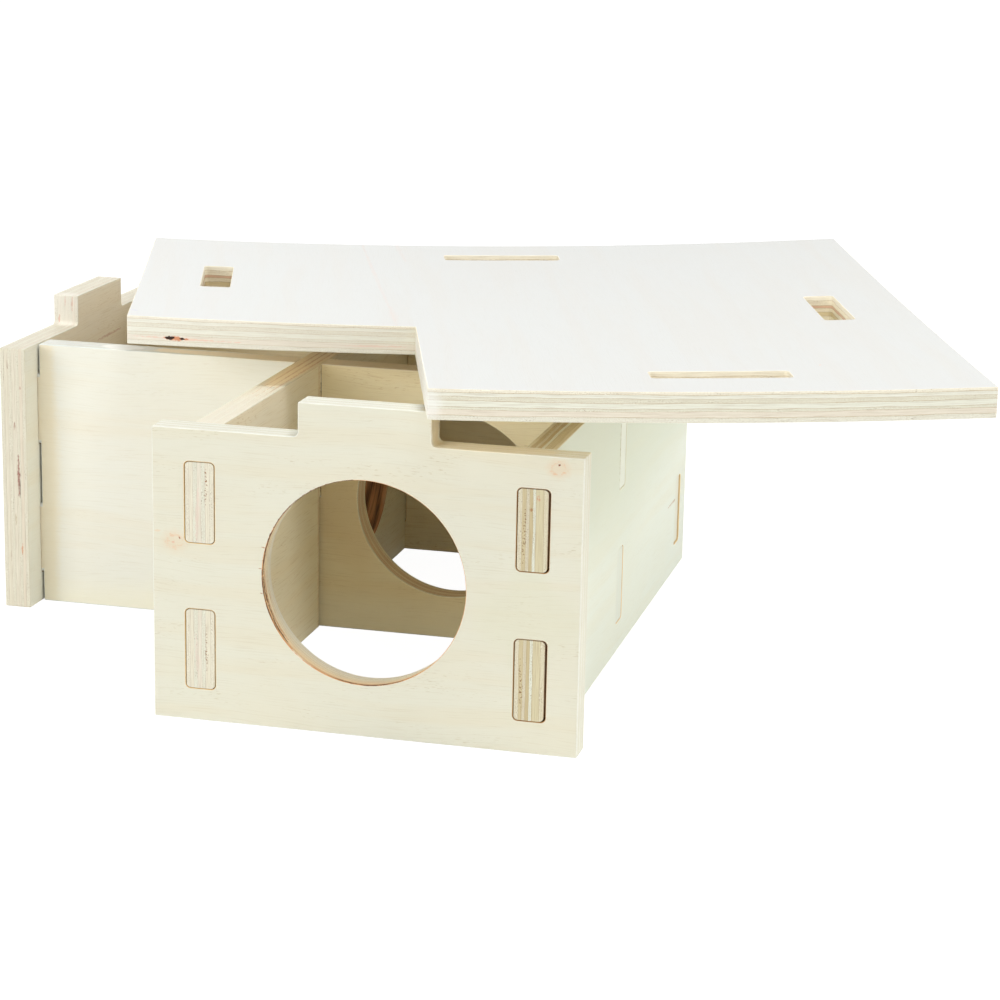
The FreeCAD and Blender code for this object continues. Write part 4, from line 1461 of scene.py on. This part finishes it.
lid_slot_edge = edge_material(
    "lid_slot_plies", (
        (2.4, tone(250, 240, 212)), (1.4, tone(232, 216, 174)), (1.6, tone(250, 241, 216)),
        (1.0, tone(234, 198, 170)), (1.8, tone(250, 242, 218)), (1.8, tone(252, 246, 226)),
    ), GLUE, roughness=0.8,
)
LID_STEP = 20 * MM
steps_out = int(max(lid_right, lid_back) / LID_STEP)
grid_lines = [LID_STEP * number for number in range(-steps_out, steps_out + 1)]
lid = make_board(
    "lid_board", lid_outline, lid_slots, place_lid,
    [lid_face, lid_edge] + [lid_slot_edge] * 4,
    seed=7, grain=(0, 1), grid=(grid_lines, grid_lines),
)
stand_for(lid, "lid", "lid")

# %% [markdown]
# ## Floor and room
# The house stands on a plain white sweep in a white room, which lights it evenly from all sides. The floor is white
# to the camera, and keeps a faint shadow under the walls. To every other ray it is plain white paper, which throws
# light up into the house. The room is white to the camera too, and dimmer to the wood, so that pale faces don't
# clip.

# %% Floor and world
FLOOR_SIZE = 8
PAPER = 0.92
CAMERA_GLOW = 0.96
SHADOW_CATCH = 0.2
ROOM_LIGHT = 0.5


def grey(share):
    """A neutral colour of that lightness."""
    return (share, share, share, 1)


def is_seen_plainly(tree):
    """1 for rays that come from the camera or by way of a mirror or glass, and 0 for the rest."""
    path = tree.nodes.new("ShaderNodeLightPath")
    seen = calculate(tree, "MAXIMUM", path.outputs["Is Camera Ray"], path.outputs["Is Glossy Ray"])
    return calculate(tree, "MAXIMUM", seen, path.outputs["Is Transmission Ray"])


paper = bpy.data.materials.new("white_sweep")
paper.use_nodes = True
paper_tree = paper.node_tree
paper_tree.nodes.clear()
paper_diffuse = add_node(paper_tree, "ShaderNodeBsdfDiffuse", {"Color": grey(PAPER)})
faint_diffuse = add_node(paper_tree, "ShaderNodeBsdfDiffuse", {"Color": grey(SHADOW_CATCH)})
glow = add_node(paper_tree, "ShaderNodeEmission", {"Color": grey(1), "Strength": CAMERA_GLOW})
seen_paper = add_node(paper_tree, "ShaderNodeAddShader", {0: faint_diffuse.outputs[0], 1: glow.outputs[0]})
paper_mix = add_node(
    paper_tree, "ShaderNodeMixShader",
    {0: is_seen_plainly(paper_tree), 1: paper_diffuse.outputs[0], 2: seen_paper.outputs[0]},
)
add_node(paper_tree, "ShaderNodeOutputMaterial", {"Surface": paper_mix.outputs[0]})

bpy.ops.mesh.primitive_plane_add(size=FLOOR_SIZE, location=(0, 0, 0))
floor = bpy.context.object
floor.name = "studio_floor"
floor.data.materials.append(paper)
floor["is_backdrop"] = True

world = bpy.data.worlds.new("white_room")
bpy.context.scene.world = world
world.use_nodes = True
world_tree = world.node_tree
room = world_tree.nodes["Background"]
room.inputs["Color"].default_value = grey(1)
room_strength = add_node(world_tree, "ShaderNodeMapRange", {
    "Value": is_seen_plainly(world_tree), "To Min": ROOM_LIGHT, "To Max": 1.0,
})
world_tree.links.new(room_strength.outputs["Result"], room.inputs["Strength"])
print("floor of", FLOOR_SIZE, "m, room light", ROOM_LIGHT)

# %% [markdown]
# ## Soft boxes
# The room's even light alone leaves pale wood flat. Five soft boxes shape it. A small one overhead draws the lid's
# shadow on the walls' top edges. Broad ones at the left front, the front and the right lift the upright faces that
# look that way, and one behind keeps the back of the house from going grey.

# %% Soft boxes
def soft_box(name, place, aim, width, height, power):
    """A rectangular soft box at a place, turned towards a point."""
    lamp = bpy.data.lights.new(name, "AREA")
    lamp.shape = "RECTANGLE"
    lamp.size = width
    lamp.size_y = height
    lamp.energy = power
    box = bpy.data.objects.new(name, lamp)
    box.location = place
    box.rotation_euler = (Vector(aim) - Vector(place)).to_track_quat("-Z", "Y").to_euler()
    box.visible_camera = False
    bpy.context.scene.collection.objects.link(box)


middle_of_house = (0.05, 0, 0.08)
soft_box("overhead_box", (0.4, -0.2, 1.35), middle_of_house, 0.4, 0.4, 8.5)
soft_box("left_front_box", (-1.2, -1.3, 0.65), middle_of_house, 0.9, 0.8, 10.0)
soft_box("front_box", (-0.6, -1.6, 0.5), middle_of_house, 0.9, 0.6, 4.5)
soft_box("right_box", (1.7, 0.1, 0.45), middle_of_house, 0.9, 0.8, 8.8)
soft_box("back_box", (-0.9, 1.5, 0.3), middle_of_house, 0.9, 0.6, 7.0)
print("five soft boxes hung")

# %% [markdown]
# ## Finish
# The view transform is Standard, so a tone renders about as it was written.

# %% Check sizes and finish
bpy.context.scene.view_settings.view_transform = "Standard"
dressed_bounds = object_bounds()
for corner, solid, dressed in zip(("low", "high"), cad_bounds, dressed_bounds):
    print(corner, "solid", [round(value, 4) for value in solid])
    print(corner, "dressed", [round(value, 4) for value in dressed])
